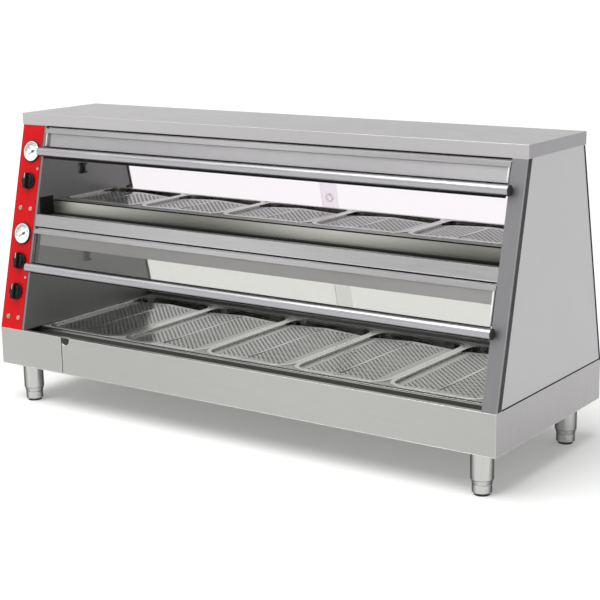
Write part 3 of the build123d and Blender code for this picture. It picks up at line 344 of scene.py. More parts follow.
@dataclass(frozen=True)
class FloatGlass:
    """Clear toughened float glass that lets lamp light through."""

    name: str
    tint: str
    roughness: float = 0.0

    def build(self) -> bpy.types.Material:
        """Builds the finish as a node material."""
        material, tree = new_material(self.name)
        coords = object_coords(tree)
        # Wiping marks: soft smears about 60 mm across that only touch the gloss.
        low, high = self.roughness, self.roughness + 0.03
        limits = {"From Min": 0.5, "From Max": 0.8, "To Min": low, "To Max": high}
        roughness = remap(tree, cloud(tree, coords, 16.0, 5.0), limits)
        glass = add_node(
            tree, "ShaderNodeBsdfPrincipled", None,
            {"Base Color": linear(self.tint), "Roughness": roughness, "IOR": 1.5,
             "Transmission Weight": 1.0},
        )
        clear = add_node(tree, "ShaderNodeBsdfTransparent", None, {"Color": linear(self.tint)})
        path = add_node(tree, "ShaderNodeLightPath")
        mixed = add_node(
            tree, "ShaderNodeMixShader", None,
            {0: path.outputs["Is Shadow Ray"], 1: glass.outputs[0], 2: clear.outputs[0]},
        )
        close_material(tree, mixed)
        return material


@dataclass(frozen=True)
class SheetGlass:
    """Thin clear sheet glass that tints what lies behind it and keeps a faint gloss."""

    name: str
    tint: str
    gloss: float = 0.03
    index: float = 1.2

    def build(self) -> bpy.types.Material:
        """Builds the finish as a node material."""
        material, tree = new_material(self.name)
        coords = object_coords(tree)
        # Wiping marks, soft smears about 60 mm across.
        smear = cloud(tree, coords, 16.0, 5.0)
        roughness = remap(tree, smear, {"To Min": self.gloss, "To Max": 2 * self.gloss})
        clear = add_node(tree, "ShaderNodeBsdfTransparent", None, {"Color": linear(self.tint)})
        shine = add_node(tree, "ShaderNodeBsdfGlossy", None, {"Roughness": roughness})
        facing = add_node(tree, "ShaderNodeFresnel", None, {"IOR": self.index})
        mixed = add_node(
            tree, "ShaderNodeMixShader", None,
            {0: facing.outputs[0], 1: clear.outputs[0], 2: shine.outputs[0]},
        )
        close_material(tree, mixed)
        return material


@dataclass
class Finishes:
    """Every finish of the cabinet, built once."""

    # 304 stainless sheet with a satin belt-ground face: pale grey, soft lengthwise streaks, a painted shade
    # on its side faces and faint painted reflection bands.
    outer_steel: BrushedMetal = BrushedMetal(
        "satin_stainless_sheet", "#ADADAB", "#BBBBB9", 0.36, edge_mm=2.0, edge_shine=0.8,
        turned=(((1.0, 0.0, 0.0), "#ACAAAB"),), bands=0.06, band_length=1.5, band_crest=0.3,
    )
    # The roof's sheet, with a painted shade on its top, a darker painted shade on its folded ends and faint
    # painted reflection bands.
    roof_steel: BrushedMetal = BrushedMetal(
        "satin_stainless_roof", "#B6B4B5", "#C4C2C3", 0.36, edge_mm=1.6, edge_shine=0.7,
        turned=(((0.0, 0.0, 1.0), "#A5A4A4"), ((1.0, 0.0, 0.0), "#979598")), bands=0.08, band_length=1.9,
        band_crest=-0.65,
    )
    # Fascia and valance behind the flaps: the same sheet, bright under the lamps.
    fascia_steel: BrushedMetal = BrushedMetal(
        "satin_stainless_fascia", "#CCCACC", "#D8D6D8", 0.38, bands=0.06, band_length=0.62, band_crest=0.02
    )
    # Rail and hinge bars, which mirror the room in broad bands.
    rail_steel: BrushedMetal = BrushedMetal(
        "satin_stainless_rail", "#B2B1B2", "#C0BFC0", 0.34, bands=0.22, band_length=1.4, band_crest=-0.05
    )
    # The same sheet on the side skins, ground from foot to top.
    side_steel: BrushedMetal = BrushedMetal(
        "satin_stainless_side", "#ADADAE", "#BBBABB", 0.40, front=Grain.UP_SLOPE, edge_mm=2.0,
        edge_shine=0.8,
    )
    # Posts of the same sheet with a coarser grind, which mirrors less, in a darker grey; their inner faces
    # carry a painted shade of their own for the shade inside the cabinet.
    post_steel: BrushedMetal = BrushedMetal(
        "satin_stainless_upright", "#807F81", "#8A898B", 0.48, grain_depth=0.04, front=Grain.UP_SLOPE,
        bump=0.03, turned=(((1.0, 0.0, 0.0), "#8E8E8E"),),
    )
    # Stainless of the lower deck: smoother, pale as partly painted light for its shaded parts, with a
    # painted shade on the front-facing wall of its gutter.
    deck_steel: BrushedMetal = BrushedMetal(
        "bright_stainless_deck", "#C6C6C3", "#D8D8D5", 0.60, grain_mm=2.6, grain_depth=0.06, edge_mm=1.6,
        turned=(((0.0, -1.0, 0.0), "#4C4C4A"),), metallic=0.55,
    )
    # Matt strip of the same sheet behind the pans, pale as painted light where the rear of the deck lies in
    # shade.
    strip_steel: BrushedMetal = BrushedMetal(
        "matt_stainless_strip", "#D2D2CF", "#E2E2DF", 0.70, grain_mm=2.6, edge_mm=0.4, metallic=0.25
    )
    # The same sheet on the upper deck, whose front wall mirrors the room in bands.
    riser_steel: BrushedMetal = BrushedMetal(
        "bright_stainless_riser", "#BCBCB5", "#CCCCC6", 0.40, grain_depth=0.06, bands=0.58,
        band_length=0.86, band_crest=-0.62,
    )
    # Pressed pans: bright sheet, with a painted highlight along the rim.
    pan_steel: BrushedMetal = BrushedMetal(
        "pressed_stainless_pan", "#B0B0AE", "#CFCFCC", 0.24, edge_mm=1.6, edge_shine=0.8
    )
    # Punched stainless inserts, in a darker grey than the pans.
    insert_steel: BrushedMetal = BrushedMetal(
        "punched_stainless", "#8C8C8A", "#A6A6A4", 0.22, grain_depth=0.05, edge_mm=0.4, edge_shine=0.5
    )
    # Drawn and polished handle tube, with a painted shade towards its outline.
    tube_steel: BrushedMetal = BrushedMetal(
        "polished_stainless_tube", "#9E9DA1", "#BCBBBE", 0.26, grain_mm=2.4, grain_depth=0.08,
        flank=Grain.ALONG_X, edge_mm=0.3, rim_shade="#2E2E30",
    )
    # Polished leg tube, drawn lengthwise, with a painted shade towards its outline.
    leg_steel: BrushedMetal = BrushedMetal(
        "polished_stainless_leg", "#B4B4B2", "#CECECC", 0.10, grain_depth=0.04, front=Grain.ALONG_Z,
        edge_mm=0.4, bump=0.02, rim_shade="#2E2E2E", rim_reach=(0.22, 0.60),
    )
    # Sheathed heating element, browned by heat.
    element_steel: BrushedMetal = BrushedMetal(
        "heat_tinted_sheath", "#4A403A", "#6A5F57", 0.45, flank=Grain.ALONG_X
    )
    # Extruded track in natural anodised aluminium.
    track_metal: BrushedMetal = BrushedMetal(
        "anodised_aluminium", "#E2E3E4", "#EDEEEF", 0.80, grain_mm=0.8, edge_mm=0.3
    )
    # Bright zinc-plated screws and nuts.
    screw_metal: BrushedMetal = BrushedMetal(
        "zinc_plated_steel", "#A9ABAE", "#C9CBCE", 0.25, grain_mm=0.5, edge_mm=0.2
    )
    # Gloss enamel on the control panel, with a slight orange peel.
    panel_enamel: Moulded = Moulded(
        "red_gloss_enamel", "#C8040E", "#D80A14", 0.34, grain_mm=2.5, bump=0.04, specular=0.18,
        edge_mm=0.6,
    )
    # Phenolic knobs: near black, satin, with a very fine grain.
    knob_phenolic: Moulded = Moulded("black_phenolic", "#060607", "#0E0E0F", 0.45, 0.6, 0.10, specular=0.3)
    # Nylon plugs, clips and gland: black, matt.
    nylon: Moulded = Moulded("black_nylon", "#0A0A0A", "#141414", 0.50, 0.8, 0.15)
    # White stove enamel of the dials.
    dial_enamel: Moulded = Moulded("white_dial_enamel", "#F4F4F2", "#FBFBFA", 0.35, 1.0, 0.03)
    # Printing ink on the dials and knobs.
    ink: Moulded = Moulded("black_ink", "#1C1C1E", "#242426", 0.6, 0.5, 0.05)
    pale_ink: Moulded = Moulded("white_ink", "#E8E8E6", "#F2F2F0", 0.6, 0.5, 0.05)
    # Acrylic lamp lenses.
    green_lens: Moulded = Moulded("green_acrylic_lens", "#5FA04A", "#8CC46A", 0.15, 3.0, 0.02, coat=0.5)
    amber_lens: Moulded = Moulded("amber_acrylic_lens", "#C98A2C", "#E8B45A", 0.15, 3.0, 0.02, coat=0.5)
    # Float glass of the gauges.
    glass: FloatGlass = FloatGlass("clear_float_glass", "#FBFCFC")
    # Toughened panes of the flaps: the lower one has a light grey cast.
    upper_flap_pane: SheetGlass = SheetGlass("clear_flap_glass", "#FBFBFB", index=1.30)
    lower_flap_pane: SheetGlass = SheetGlass("grey_flap_glass", "#EFEFEE", index=1.36)
    # Rear doors, whose ground edges hardly show.
    upper_pane: SheetGlass = SheetGlass("clear_door_glass", "#F8F6F8")
    lower_pane: SheetGlass = SheetGlass("grey_door_glass", "#F9F9F8")
    # Black rubber strips that seal the hinge lines and the lower edges of the flaps; behind the handle
    # tubes they also stand in as painted shadow.
    seal_rubber: Moulded = Moulded("black_seal_rubber", "#0C0C0C", "#161616", 0.7, 1.2, 0.10, specular=0.2)
    # Ground edges of the panes, where the light in the glass gathers.
    glass_edge: Moulded = Moulded("ground_glass_edge", "#E4E9E7", "#F4F6F5", 0.30, 1.5, 0.05, coat=0.3)

    def __post_init__(self) -> None:
        """Builds each finish's material."""
        self.made = {
            name: finish.build() for name, finish in vars(self).items() if hasattr(finish, "build")
        }

    def __getitem__(self, name: str) -> bpy.types.Material:
        """The material of a finish, by the finish's field name."""
        return self.made[name]


@dataclass(frozen=True)
class FrontSlope:
    """The leaning front face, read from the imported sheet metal."""

    foot_y: float
    foot_z: float
    lean: float

    @classmethod
    def from_frame(cls) -> "FrontSlope":
        """Reads the slope from the right post and the roof."""
        low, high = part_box("column_right")
        roof_low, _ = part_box("roof_cover")
        return cls(low.y, low.z, math.atan2(roof_low.y - low.y, high.z - low.z))

    def place(self, x: float, z: float, out: float = 0.0) -> Matrix:
        """Frame on the slope: local X to the right, local Y up the slope, local Z outwards.

        Args:
            x: Place across the cabinet.
            z: Height of the point on the face.
            out: Distance in front of the face.

        Returns:
            The frame as a matrix.
        """
        sine, cosine = math.sin(self.lean), math.cos(self.lean)
        turn = Matrix(((1, 0, 0), (0, sine, -cosine), (0, cosine, sine)))
        y = self.foot_y + (z - self.foot_z) * math.tan(self.lean)
        return Matrix.Translation((x, y, z)) @ turn.to_4x4() @ Matrix.Translation((0, 0, out))


def joint_point(name: str) -> Vector:
    """The pivot of a named joint at rest."""
    for joint in frame["joints"]:
        if joint["name"] == name:
            return Vector(joint["pos_m"])
    raise KeyError(name)


def lathe(
    shape: bmesh.types.BMesh,
    profile: Sequence[tuple[float, float]],
    place: Matrix,
    steps: int = 48,
    closed: bool = False,
) -> None:
    """Adds a turned solid about the local Z axis.

    Args:
        shape: Mesh that takes the solid.
        profile: Points as (radius, height) in millimetres.
        place: Frame of the axis.
        steps: Sides of the turned shape.
        closed: True for a ring, whose last point joins its first.
    """
    rings = []
    for radius, height in profile:
        count = 1 if radius <= 0 else steps
        ring = []
        for index in range(count):
            angle = FULL_TURN * index / steps
            point = Vector((radius * math.cos(angle), radius * math.sin(angle), height)) * MM
            ring.append(shape.verts.new(place @ point))
        rings.append(ring)
    pairs = list(zip(rings, rings[1:])) + ([(rings[-1], rings[0])] if closed else [])
    for low, high in pairs:
        for index in range(steps):
            after = (index + 1) % steps
            corners = []
            for corner in (low[index % len(low)], low[after % len(low)],
                           high[after % len(high)], high[index % len(high)]):
                if corner not in corners:
                    corners.append(corner)
            if len(corners) > 2:
                shape.faces.new(corners)


def arc(
    centre: tuple[float, float], radius: float, start: float, end: float, steps: int = 5
) -> list[tuple[float, float]]:
    """Points on an arc, with angles in degrees."""
    angles = [math.radians(start + (end - start) * step / steps) for step in range(steps + 1)]
    return [(centre[0] + radius * math.cos(a), centre[1] + radius * math.sin(a)) for a in angles]


def puck(radius: float, low: float, high: float, soft: float) -> list[tuple[float, float]]:
    """Profile of a flat disc whose upper rim is rounded."""
    return [(0, low), (radius, low)] + arc((radius - soft, high - soft), soft, 0, 90) + [(0, high)]


def soft_box(
    shape: bmesh.types.BMesh, low: Sequence[float], high: Sequence[float], place: Matrix, soft: float
) -> None:
    """Adds a box with rounded edges.

    Args:
        shape: Mesh that takes the box.
        low: Lowest corner in millimetres, in the local frame.
        high: Highest corner in millimetres, in the local frame.
        place: The local frame.
        soft: Radius of the edges in millimetres.
    """
    size = [b - a for a, b in zip(low, high)]
    middle = Vector([(a + b) / 2 for a, b in zip(low, high)]) * MM
    matrix = place @ Matrix.Translation(middle) @ Matrix.Diagonal(Vector(size) * MM).to_4x4()
    made = bmesh.ops.create_cube(shape, size=1.0, matrix=matrix)
    edges = list({edge for vert in made["verts"] for edge in vert.link_edges})
    if soft > 0:
        bmesh.ops.bevel(shape, geom=edges, offset=soft * MM, segments=2, profile=0.5, affect="EDGES")


def mesh_piece(
    name: str, shape: bmesh.types.BMesh, material: bpy.types.Material, sharp: float = 35.0
) -> bpy.types.Object:
    """Turns a mesh under construction into a piece.

    Args:
        name: Name of the piece.
        shape: Its mesh, which is freed.
        material: Its finish.
        sharp: Angle in degrees past which an edge stays sharp.

    Returns:
        The new object.
    """
    bmesh.ops.recalc_face_normals(shape, faces=shape.faces)
    mesh = bpy.data.meshes.new(name)
    shape.to_mesh(mesh)
    shape.free()
    mesh.materials.append(material)
    mesh.polygons.foreach_set("use_smooth", [True] * len(mesh.polygons))
    mesh.set_sharp_from_angle(angle=math.radians(sharp))
    piece = bpy.data.objects.new(name, mesh)
    bpy.context.scene.collection.objects.link(piece)
    return piece


def attach(piece: bpy.types.Object, body: str, stands_for: Iterable[str] = ()) -> None:
    """Rides a piece on its body and hides the nodes that it stands for.

    Args:
        piece: The finished piece.
        body: Body that carries it.
        stands_for: Nodes that the piece replaces.
    """
    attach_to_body(piece, body)
    nodes = tuple(stands_for)
    if nodes:
        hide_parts(*nodes)
    LOG.info("%s: %d faces on %s", piece.name, len(piece.data.polygons), body)


@dataclass
class Maker:
    """What the classes that build pieces share."""

    finishes: Finishes

    def add(
        self, name: str, shape: bmesh.types.BMesh, finish: str, slot: str, body: str = CABINET,
        stands_for: Iterable[str] = (),
    ) -> None:
        """Turns a finished shape into a piece on its body.

        Args:
            name: Name of the piece.
            shape: Its mesh, which is freed.
            finish: Field name of its finish.
            slot: Not used.
            body: Body that carries it.
            stands_for: Nodes that the piece replaces.
        """
        attach(mesh_piece(name, shape, self.finishes[finish]), body, stands_for)


def inner_walls() -> tuple[float, float]:
    """Places of the posts' inner faces across the cabinet, in millimetres."""
    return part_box("column_left")[1].x / MM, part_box("column_right")[0].x / MM


def plain_mesh(piece: bpy.types.Object) -> None:
    """Turns a piece's modified shape into its own plain mesh."""
    graph = bpy.context.evaluated_depsgraph_get()
    mesh = bpy.data.meshes.new_from_object(piece.evaluated_get(graph))
    piece.modifiers.clear()
    piece.data = mesh


class Pattern:
    """A Geometry Nodes tree with named inputs that sets out copies of a piece's own mesh."""

    def __init__(self, name: str, inputs: Mapping[str, str]) -> None:
        """Makes the tree's sockets.

        Args:
            name: Name of the tree.
            inputs: Socket types by input name.
        """
        self.tree = bpy.data.node_groups.new(name, "GeometryNodeTree")
        face = self.tree.interface
        face.new_socket("Geometry", in_out="INPUT", socket_type="NodeSocketGeometry")
        self.ids = {}
        for key, kind in {**inputs, "Finish": "NodeSocketMaterial"}.items():
            self.ids[key] = face.new_socket(key, in_out="INPUT", socket_type=kind).identifier
        face.new_socket("Geometry", in_out="OUTPUT", socket_type="NodeSocketGeometry")
        self.source = self.tree.nodes.new("NodeGroupInput").outputs

    def add(
        self, kind: str, settings: Optional[dict] = None, inputs: Optional[dict] = None
    ) -> bpy.types.Node:
        """Adds a node to this tree."""
        return add_node(self.tree, kind, settings, inputs)

    def math(self, operation: str, *values: object) -> bpy.types.NodeSocket:
        """Output of a sum on one or two values."""
        return calc(self.tree, operation, *values)

    def grid(
        self, wide: object, tall: object, columns: object = 2, rows: object = 2
    ) -> bpy.types.NodeSocket:
        """Output of a flat grid, with its sizes and its numbers of points."""
        sizes = {"Size X": wide, "Size Y": tall, "Vertices X": columns, "Vertices Y": rows}
        return self.add("GeometryNodeMeshGrid", None, sizes).outputs[0]

    def copies(self, points: bpy.types.NodeSocket, unit: bpy.types.NodeSocket) -> bpy.types.NodeSocket:
        """Output of one copy of a unit on each point."""
        ends = {"Points": points, "Instance": unit}
        return self.add("GeometryNodeInstanceOnPoints", None, ends).outputs[0]

    def vector(self, **parts: object) -> bpy.types.NodeSocket:
        """Output of a vector with the given parts, by axis."""
        return self.add("ShaderNodeCombineXYZ", None, parts).outputs[0]

    def shifted(
        self, geometry: bpy.types.NodeSocket, way: str, place: bpy.types.NodeSocket
    ) -> bpy.types.NodeSocket:
        """Output of geometry whose points are moved, with way as Position or Offset."""
        return self.add("GeometryNodeSetPosition", None, {"Geometry": geometry, way: place}).outputs[0]

    def close(self, geometry: bpy.types.NodeSocket) -> None:
        """Ends the tree with plain geometry in the given finish.

        Args:
            geometry: Socket with the result.
        """
        real = self.add("GeometryNodeRealizeInstances", None, {"Geometry": geometry}).outputs[0]
        dressed = self.add(
            "GeometryNodeSetMaterial", None, {"Geometry": real, "Material": self.source["Finish"]}
        ).outputs[0]
        self.add("NodeGroupOutput", None, {"Geometry": dressed})

    def apply(self, piece: bpy.types.Object, values: Mapping[str, object]) -> None:
        """Runs the tree on a piece and keeps the result as its mesh.

        Args:
            piece: Object whose mesh is the copied unit.
            values: Input values by name.
        """
        modifier = piece.modifiers.new(self.tree.name, "NODES")
        modifier.node_group = self.tree
        for key, value in values.items():
            modifier[self.ids[key]] = value
        plain_mesh(piece)


def ring_pattern() -> Pattern:
    """Tree that sets copies out on an arc about the local Z axis."""
    pattern = Pattern(
        "set_out_on_arc",
        {"Count": "NodeSocketInt", "Radius": "NodeSocketFloat", "Start": "NodeSocketFloat",
         "Step": "NodeSocketFloat"},
    )
    source = pattern.source
    points = pattern.add("GeometryNodeMeshLine", None, {"Count": source["Count"]}).outputs[0]
    index = pattern.add("GeometryNodeInputIndex").outputs[0]
    angle = pattern.math("ADD", source["Start"], pattern.math("MULTIPLY", index, source["Step"]))
    x = pattern.math("MULTIPLY", pattern.math("COSINE", angle), source["Radius"])
    y = pattern.math("MULTIPLY", pattern.math("SINE", angle), source["Radius"])
    spot = pattern.vector(X=x, Y=y)
    turn = pattern.vector(Z=angle)
    moved = pattern.shifted(points, "Position", spot)
    copies = pattern.add(
        "GeometryNodeInstanceOnPoints", None,
        {"Points": moved, "Instance": source["Geometry"], "Rotation": turn},
    ).outputs[0]
    pattern.close(copies)
    return pattern


def row_pattern() -> Pattern:
    """Tree that sets copies out in a straight row."""
    pattern = Pattern(
        "set_out_in_row",
        {"Count": "NodeSocketInt", "Start": "NodeSocketVector", "Step": "NodeSocketVector"},
    )
    source = pattern.source
    points = pattern.add(
        "GeometryNodeMeshLine", None,
        {"Count": source["Count"], "Start Location": source["Start"], "Offset": source["Step"]},
    ).outputs[0]
    pattern.close(pattern.copies(points, source["Geometry"]))
    return pattern


def punched_pattern() -> Pattern:
    """Tree that sets punched cells out in staggered rows, adds margins and folds a low ridge."""
    pattern = Pattern(
        "punched_sheet",
        {"Columns": "NodeSocketInt", "Rows": "NodeSocketInt", "Pitch": "NodeSocketFloat",
         "Row": "NodeSocketFloat", "Width": "NodeSocketFloat", "Length": "NodeSocketFloat",
         "Fall": "NodeSocketFloat", "Bend": "NodeSocketFloat"},
    )
    source = pattern.source
    pitch, row = source["Pitch"], source["Row"]
    position = pattern.add("GeometryNodeInputPosition").outputs[0]
    place = pattern.add("ShaderNodeSeparateXYZ", None, {0: position})
    rows_less = pattern.math("SUBTRACT", source["Rows"], 1.0)
    columns_less = pattern.math("SUBTRACT", source["Columns"], 1.0)
    tall = pattern.math("MULTIPLY", rows_less, row)
    wide = pattern.math("MULTIPLY", columns_less, pitch)
    line = pattern.math(
        "ROUND", pattern.math("ADD", pattern.math("DIVIDE", place.outputs["Y"], row),
                              pattern.math("DIVIDE", rows_less, 2.0))
    )
    odd = pattern.math("MODULO", line, 2.0)
    even = pattern.math("SUBTRACT", 1.0, odd)
    half = pattern.math("DIVIDE", pitch, 2.0)
    last = pattern.math("GREATER_THAN", place.outputs["X"],
                        pattern.math("SUBTRACT", pattern.math("DIVIDE", wide, 2.0), 0.001))
    lattice = pattern.grid(wide, tall, source["Columns"], source["Rows"])
    kept = pattern.add(
        "GeometryNodeDeleteGeometry", None, {0: lattice, 1: pattern.math("MULTIPLY", odd, last)}
    ).outputs[0]
    staggered = pattern.shifted(kept, "Offset", pattern.vector(X=pattern.math("MULTIPLY", odd, half)))
    full_wide = pattern.math("MULTIPLY", source["Columns"], pitch)
    full_tall = pattern.math("MULTIPLY", source["Rows"], row)
    # Every other row starts half a pitch in, so a plain stub closes each of its ends.
    ends = pattern.grid(pattern.math("SUBTRACT", full_wide, half), tall, rows=source["Rows"])
    odd_ends = pattern.add("GeometryNodeDeleteGeometry", None, {0: ends, 1: even}).outputs[0]
    pieces = [pattern.copies(staggered, source["Geometry"])]
    pieces.append(pattern.copies(odd_ends, pattern.grid(half, row)))
    side = pattern.math("DIVIDE", pattern.math("SUBTRACT", source["Width"], full_wide), 2.0)
    end = pattern.math("DIVIDE", pattern.math("SUBTRACT", source["Length"], full_tall), 2.0)
    side_strip = pattern.grid(side, full_tall)
    end_strip = pattern.grid(source["Width"], end, columns=41)
    side_away = pattern.math("DIVIDE", pattern.math("ADD", full_wide, side), 2.0)
    end_away = pattern.math("DIVIDE", pattern.math("ADD", full_tall, end), 2.0)
    for way in (-1.0, 1.0):
        for strip, axis, away in ((side_strip, "X", side_away), (end_strip, "Y", end_away)):
            move = pattern.vector(**{axis: pattern.math("MULTIPLY", away, way)})
            moved = pattern.add("GeometryNodeTransform", None, {"Geometry": strip, "Translation": move})
            pieces.append(moved.outputs[0])
    joined = pattern.add("GeometryNodeJoinGeometry")
    for piece in pieces:
        pattern.tree.links.new(piece, joined.inputs[0])
    real = pattern.add("GeometryNodeRealizeInstances", None, {"Geometry": joined.outputs[0]}).outputs[0]
    merged = pattern.add(
        "GeometryNodeMergeByDistance", None, {"Geometry": real, "Distance": 0.02 * MM}
    ).outputs[0]
    # The fold follows a smoothed absolute value, so the ridge has a small bend radius.
    square = pattern.math("ADD", pattern.math("POWER", place.outputs["X"], 2.0),
                          pattern.math("POWER", source["Bend"], 2.0))
    away = pattern.math("SUBTRACT", pattern.math("SQRT", square), source["Bend"])
    slope = pattern.math("DIVIDE", source["Fall"], pattern.math("DIVIDE", source["Width"], 2.0))
    drop = pattern.math("MULTIPLY", pattern.math("MULTIPLY", away, slope), -1.0)
    pattern.close(pattern.shifted(merged, "Offset", pattern.vector(Z=drop)))
    return pattern


@dataclass
class PunchedInsert(Maker):
    """A ridged tray insert with staggered round holes and a flange down each side."""

    pattern: Pattern
    pitch: float = 15.4
    row: float = 7.7
    hole: float = 3.2
    side_margin: float = 20.0
    end_margin: float = 14.0
    sheet: float = 0.8
    fall: float = 6.0
    bend: float = 7.0
    corners: tuple[float, float] = (23.0, 41.0)
    rear_corner: float = 14.0
    hole_sides: int = 12
    ridge: float = 8.0

    def cell(self) -> bmesh.types.BMesh:
        """One rectangle of sheet with a round hole in it, flat and centred."""
        shape = bmesh.new()
        half = Vector((self.pitch / 2, self.row / 2)) * MM
        inner, outer = [], []
        for index in range(self.hole_sides):
            angle = FULL_TURN * index / self.hole_sides
            way = Vector((math.cos(angle), math.sin(angle)))
            inner.append(shape.verts.new((*(way * self.hole * MM), 0)))
            reach = min(half[axis] / abs(way[axis]) for axis in (0, 1) if abs(way[axis]) > 1e-6)
            outer.append(shape.verts.new((*(way * reach), 0)))
        signs = ((1, 1), (-1, 1), (-1, -1), (1, -1))
        corners = [shape.verts.new((x * half.x, y * half.y, 0)) for x, y in signs]
        for index in range(self.hole_sides):
            after = (index + 1) % self.hole_sides
            loop = [inner[index], outer[index], outer[after], inner[after]]
            first, second = outer[index].co, outer[after].co
            for corner in corners:
                between = abs(corner.co.x - first.x) < 1e-7 or abs(corner.co.y - first.y) < 1e-7
                reached = abs(corner.co.x - second.x) < 1e-7 or abs(corner.co.y - second.y) < 1e-7
                split = abs(first.x - second.x) > 1e-7 and abs(first.y - second.y) > 1e-7
                if between and reached and split:
                    loop.insert(2, corner)
            shape.faces.new(loop)
        return shape

    def clip_corners(self, shape: bmesh.types.BMesh, half_x: float, half_y: float, front: float) -> None:
        """Rounds the corners of the sheet in five cuts each, the rear ones less than the front ones.

        Args:
            shape: The sheet, centred on the origin.
            half_x: Half its width in metres.
            half_y: Half its length in metres.
            front: Radius of the front corners in metres.
        """
        for sign_x in (-1, 1):
            for sign_y, radius in ((-1, front), (1, self.rear_corner * MM)):
                centre = Vector((sign_x * (half_x - radius), sign_y * (half_y - radius), 0))
                for angle in (9, 27, 45, 63, 81):
                    turn = math.radians(angle)
                    normal = Vector((sign_x * math.cos(turn), sign_y * math.sin(turn), 0))
                    geometry = list(shape.verts) + list(shape.edges) + list(shape.faces)
                    bmesh.ops.bisect_plane(
                        shape, geom=geometry, plane_co=centre + normal * radius, plane_no=normal,
                        clear_outer=True,
                    )

    def build(self, tier: str, number: int) -> None:
        """Builds one insert in the place of its node.

        Args:
            tier: Name of the tier.
            number: Place in the row, from 1.
        """
        node = f"{tier}_insert_{number}"
        low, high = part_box(node)
        width, length = high.x - low.x, high.y - low.y
        columns = int((width / MM - 2 * self.side_margin) // self.pitch)
        rows = int((length / MM - 2 * self.end_margin) // self.row)
        rows -= 1 - rows % 2
        piece = mesh_piece(f"{node}_sheet", self.cell(), self.finishes["insert_steel"])
        values = {
            "Columns": columns, "Rows": rows, "Pitch": self.pitch * MM, "Row": self.row * MM,
            "Width": width, "Length": length, "Fall": self.fall * MM, "Bend": self.bend * MM,
            "Finish": self.finishes["insert_steel"],
        }
        self.pattern.apply(piece, values)
        shape = bmesh.new()
        shape.from_mesh(piece.data)
        corner = self.corners[TIERS.index(tier)] * MM
        self.clip_corners(shape, width / 2, length / 2, corner)
        centre = Vector(((low.x + high.x) / 2, (low.y + high.y) / 2, high.z - self.sheet * MM / 2))
        shape.transform(Matrix.Translation(centre))
        shape.to_mesh(piece.data)
        shape.free()
        wall = piece.modifiers.new("wall", "SOLIDIFY")
        wall.thickness = self.sheet * MM
        wall.offset = 0.0
        plain_mesh(piece)
        piece.data.polygons.foreach_set("use_smooth", [True] * len(piece.data.polygons))
        piece.data.set_sharp_from_angle(angle=math.radians(35))
        body = f"{node}_body"
        attach(piece, body, [node])
        flanges = bmesh.new()
        inset = Vector((0, corner, 0))
        for x in (low.x, high.x - self.sheet * MM):
            foot = Vector((x, low.y, low.z)) + inset
            top = Vector((x + self.sheet * MM, high.y, high.z - self.fall * MM)) - inset
            soft_box(flanges, foot / MM, top / MM, UPRIGHT, 0.2)
        # The fold itself is left unpunched, so a plain strip covers the middle of the ridge; its brighter
        # pan finish is a painted highlight along the ridge.
        half = Vector((self.ridge * MM / 2, 0, 0))
        foot = Vector((centre.x, low.y + corner / 4, high.z - self.sheet * MM)) - half
        top = Vector((centre.x, high.y - corner / 4, high.z + 0.3 * MM)) + half
        soft_box(flanges, foot / MM, top / MM, UPRIGHT, 0.3)
        self.add(f"{node}_flanges", flanges, "pan_steel", "insert_steel", body)


@dataclass
class ControlKnob(Maker):
    """A round knob with a fluted skirt, a bar grip and a pointer line."""

    slope: FrontSlope
    ring: Pattern
    radius: float = 22.6
    skirt: float = 5.0
    drum: float = 17.5
    height: float = 19.0
    gap: float = 0.8
    grip: float = 12.0
    flutes: int = 40

    def build(self, name: str) -> None:
        """Builds one knob in the place of its node.

        Args:
            name: Name of the knob's node.
        """
        point = joint_point(f"{name}_turn")
        place = self.slope.place(point.x, point.z)
        body = f"{name}_body"
        shape = bmesh.new()
        lathe(shape, puck(self.radius, self.gap, self.gap + self.skirt, 1.4), place)
        cap = self.height * 0.62
        lathe(shape, [(0, self.gap), (self.drum + 2.0, self.gap + self.skirt - 0.4)]
              + arc((self.drum - 2.0, cap - 2.0), 2.0, 0, 90) + [(0, cap)], place)
        reach = self.radius - 1.6
        crest = self.gap + self.skirt
        grip = self.grip / 2
        soft_box(shape, (-grip, -reach, crest - 1), (grip, reach, self.height), place, 2.2)
        lathe(shape, [(0, -14.0), (3.0, -14.0), (3.0, self.gap + 0.5), (0, self.gap + 0.5)], place, 24)
        self.add(f"{name}_shape", shape, "knob_phenolic", "black_plastic", body, stands_for=[name])
        rib = bmesh.new()
        soft_box(rib, (-0.5, -0.7, self.gap + 0.6), (0.35, 0.7, crest - 1.2), UPRIGHT, 0.3)
        ribs = mesh_piece(f"{name}_flutes", rib, self.finishes["knob_phenolic"])
        self.ring.apply(ribs, {
            "Count": self.flutes, "Radius": self.radius * MM, "Start": 0.0, "Step": FULL_TURN / self.flutes,
            "Finish": self.finishes["knob_phenolic"],
        })
        ribs.data.transform(place)
        attach(ribs, body)
        mark = bmesh.new()
        soft_box(mark, (-0.9, 5.0, self.height - 0.3), (0.9, reach - 1.5, self.height + 0.15), place, 0.1)
        self.add(f"{name}_pointer", mark, "pale_ink", "black_plastic", body)


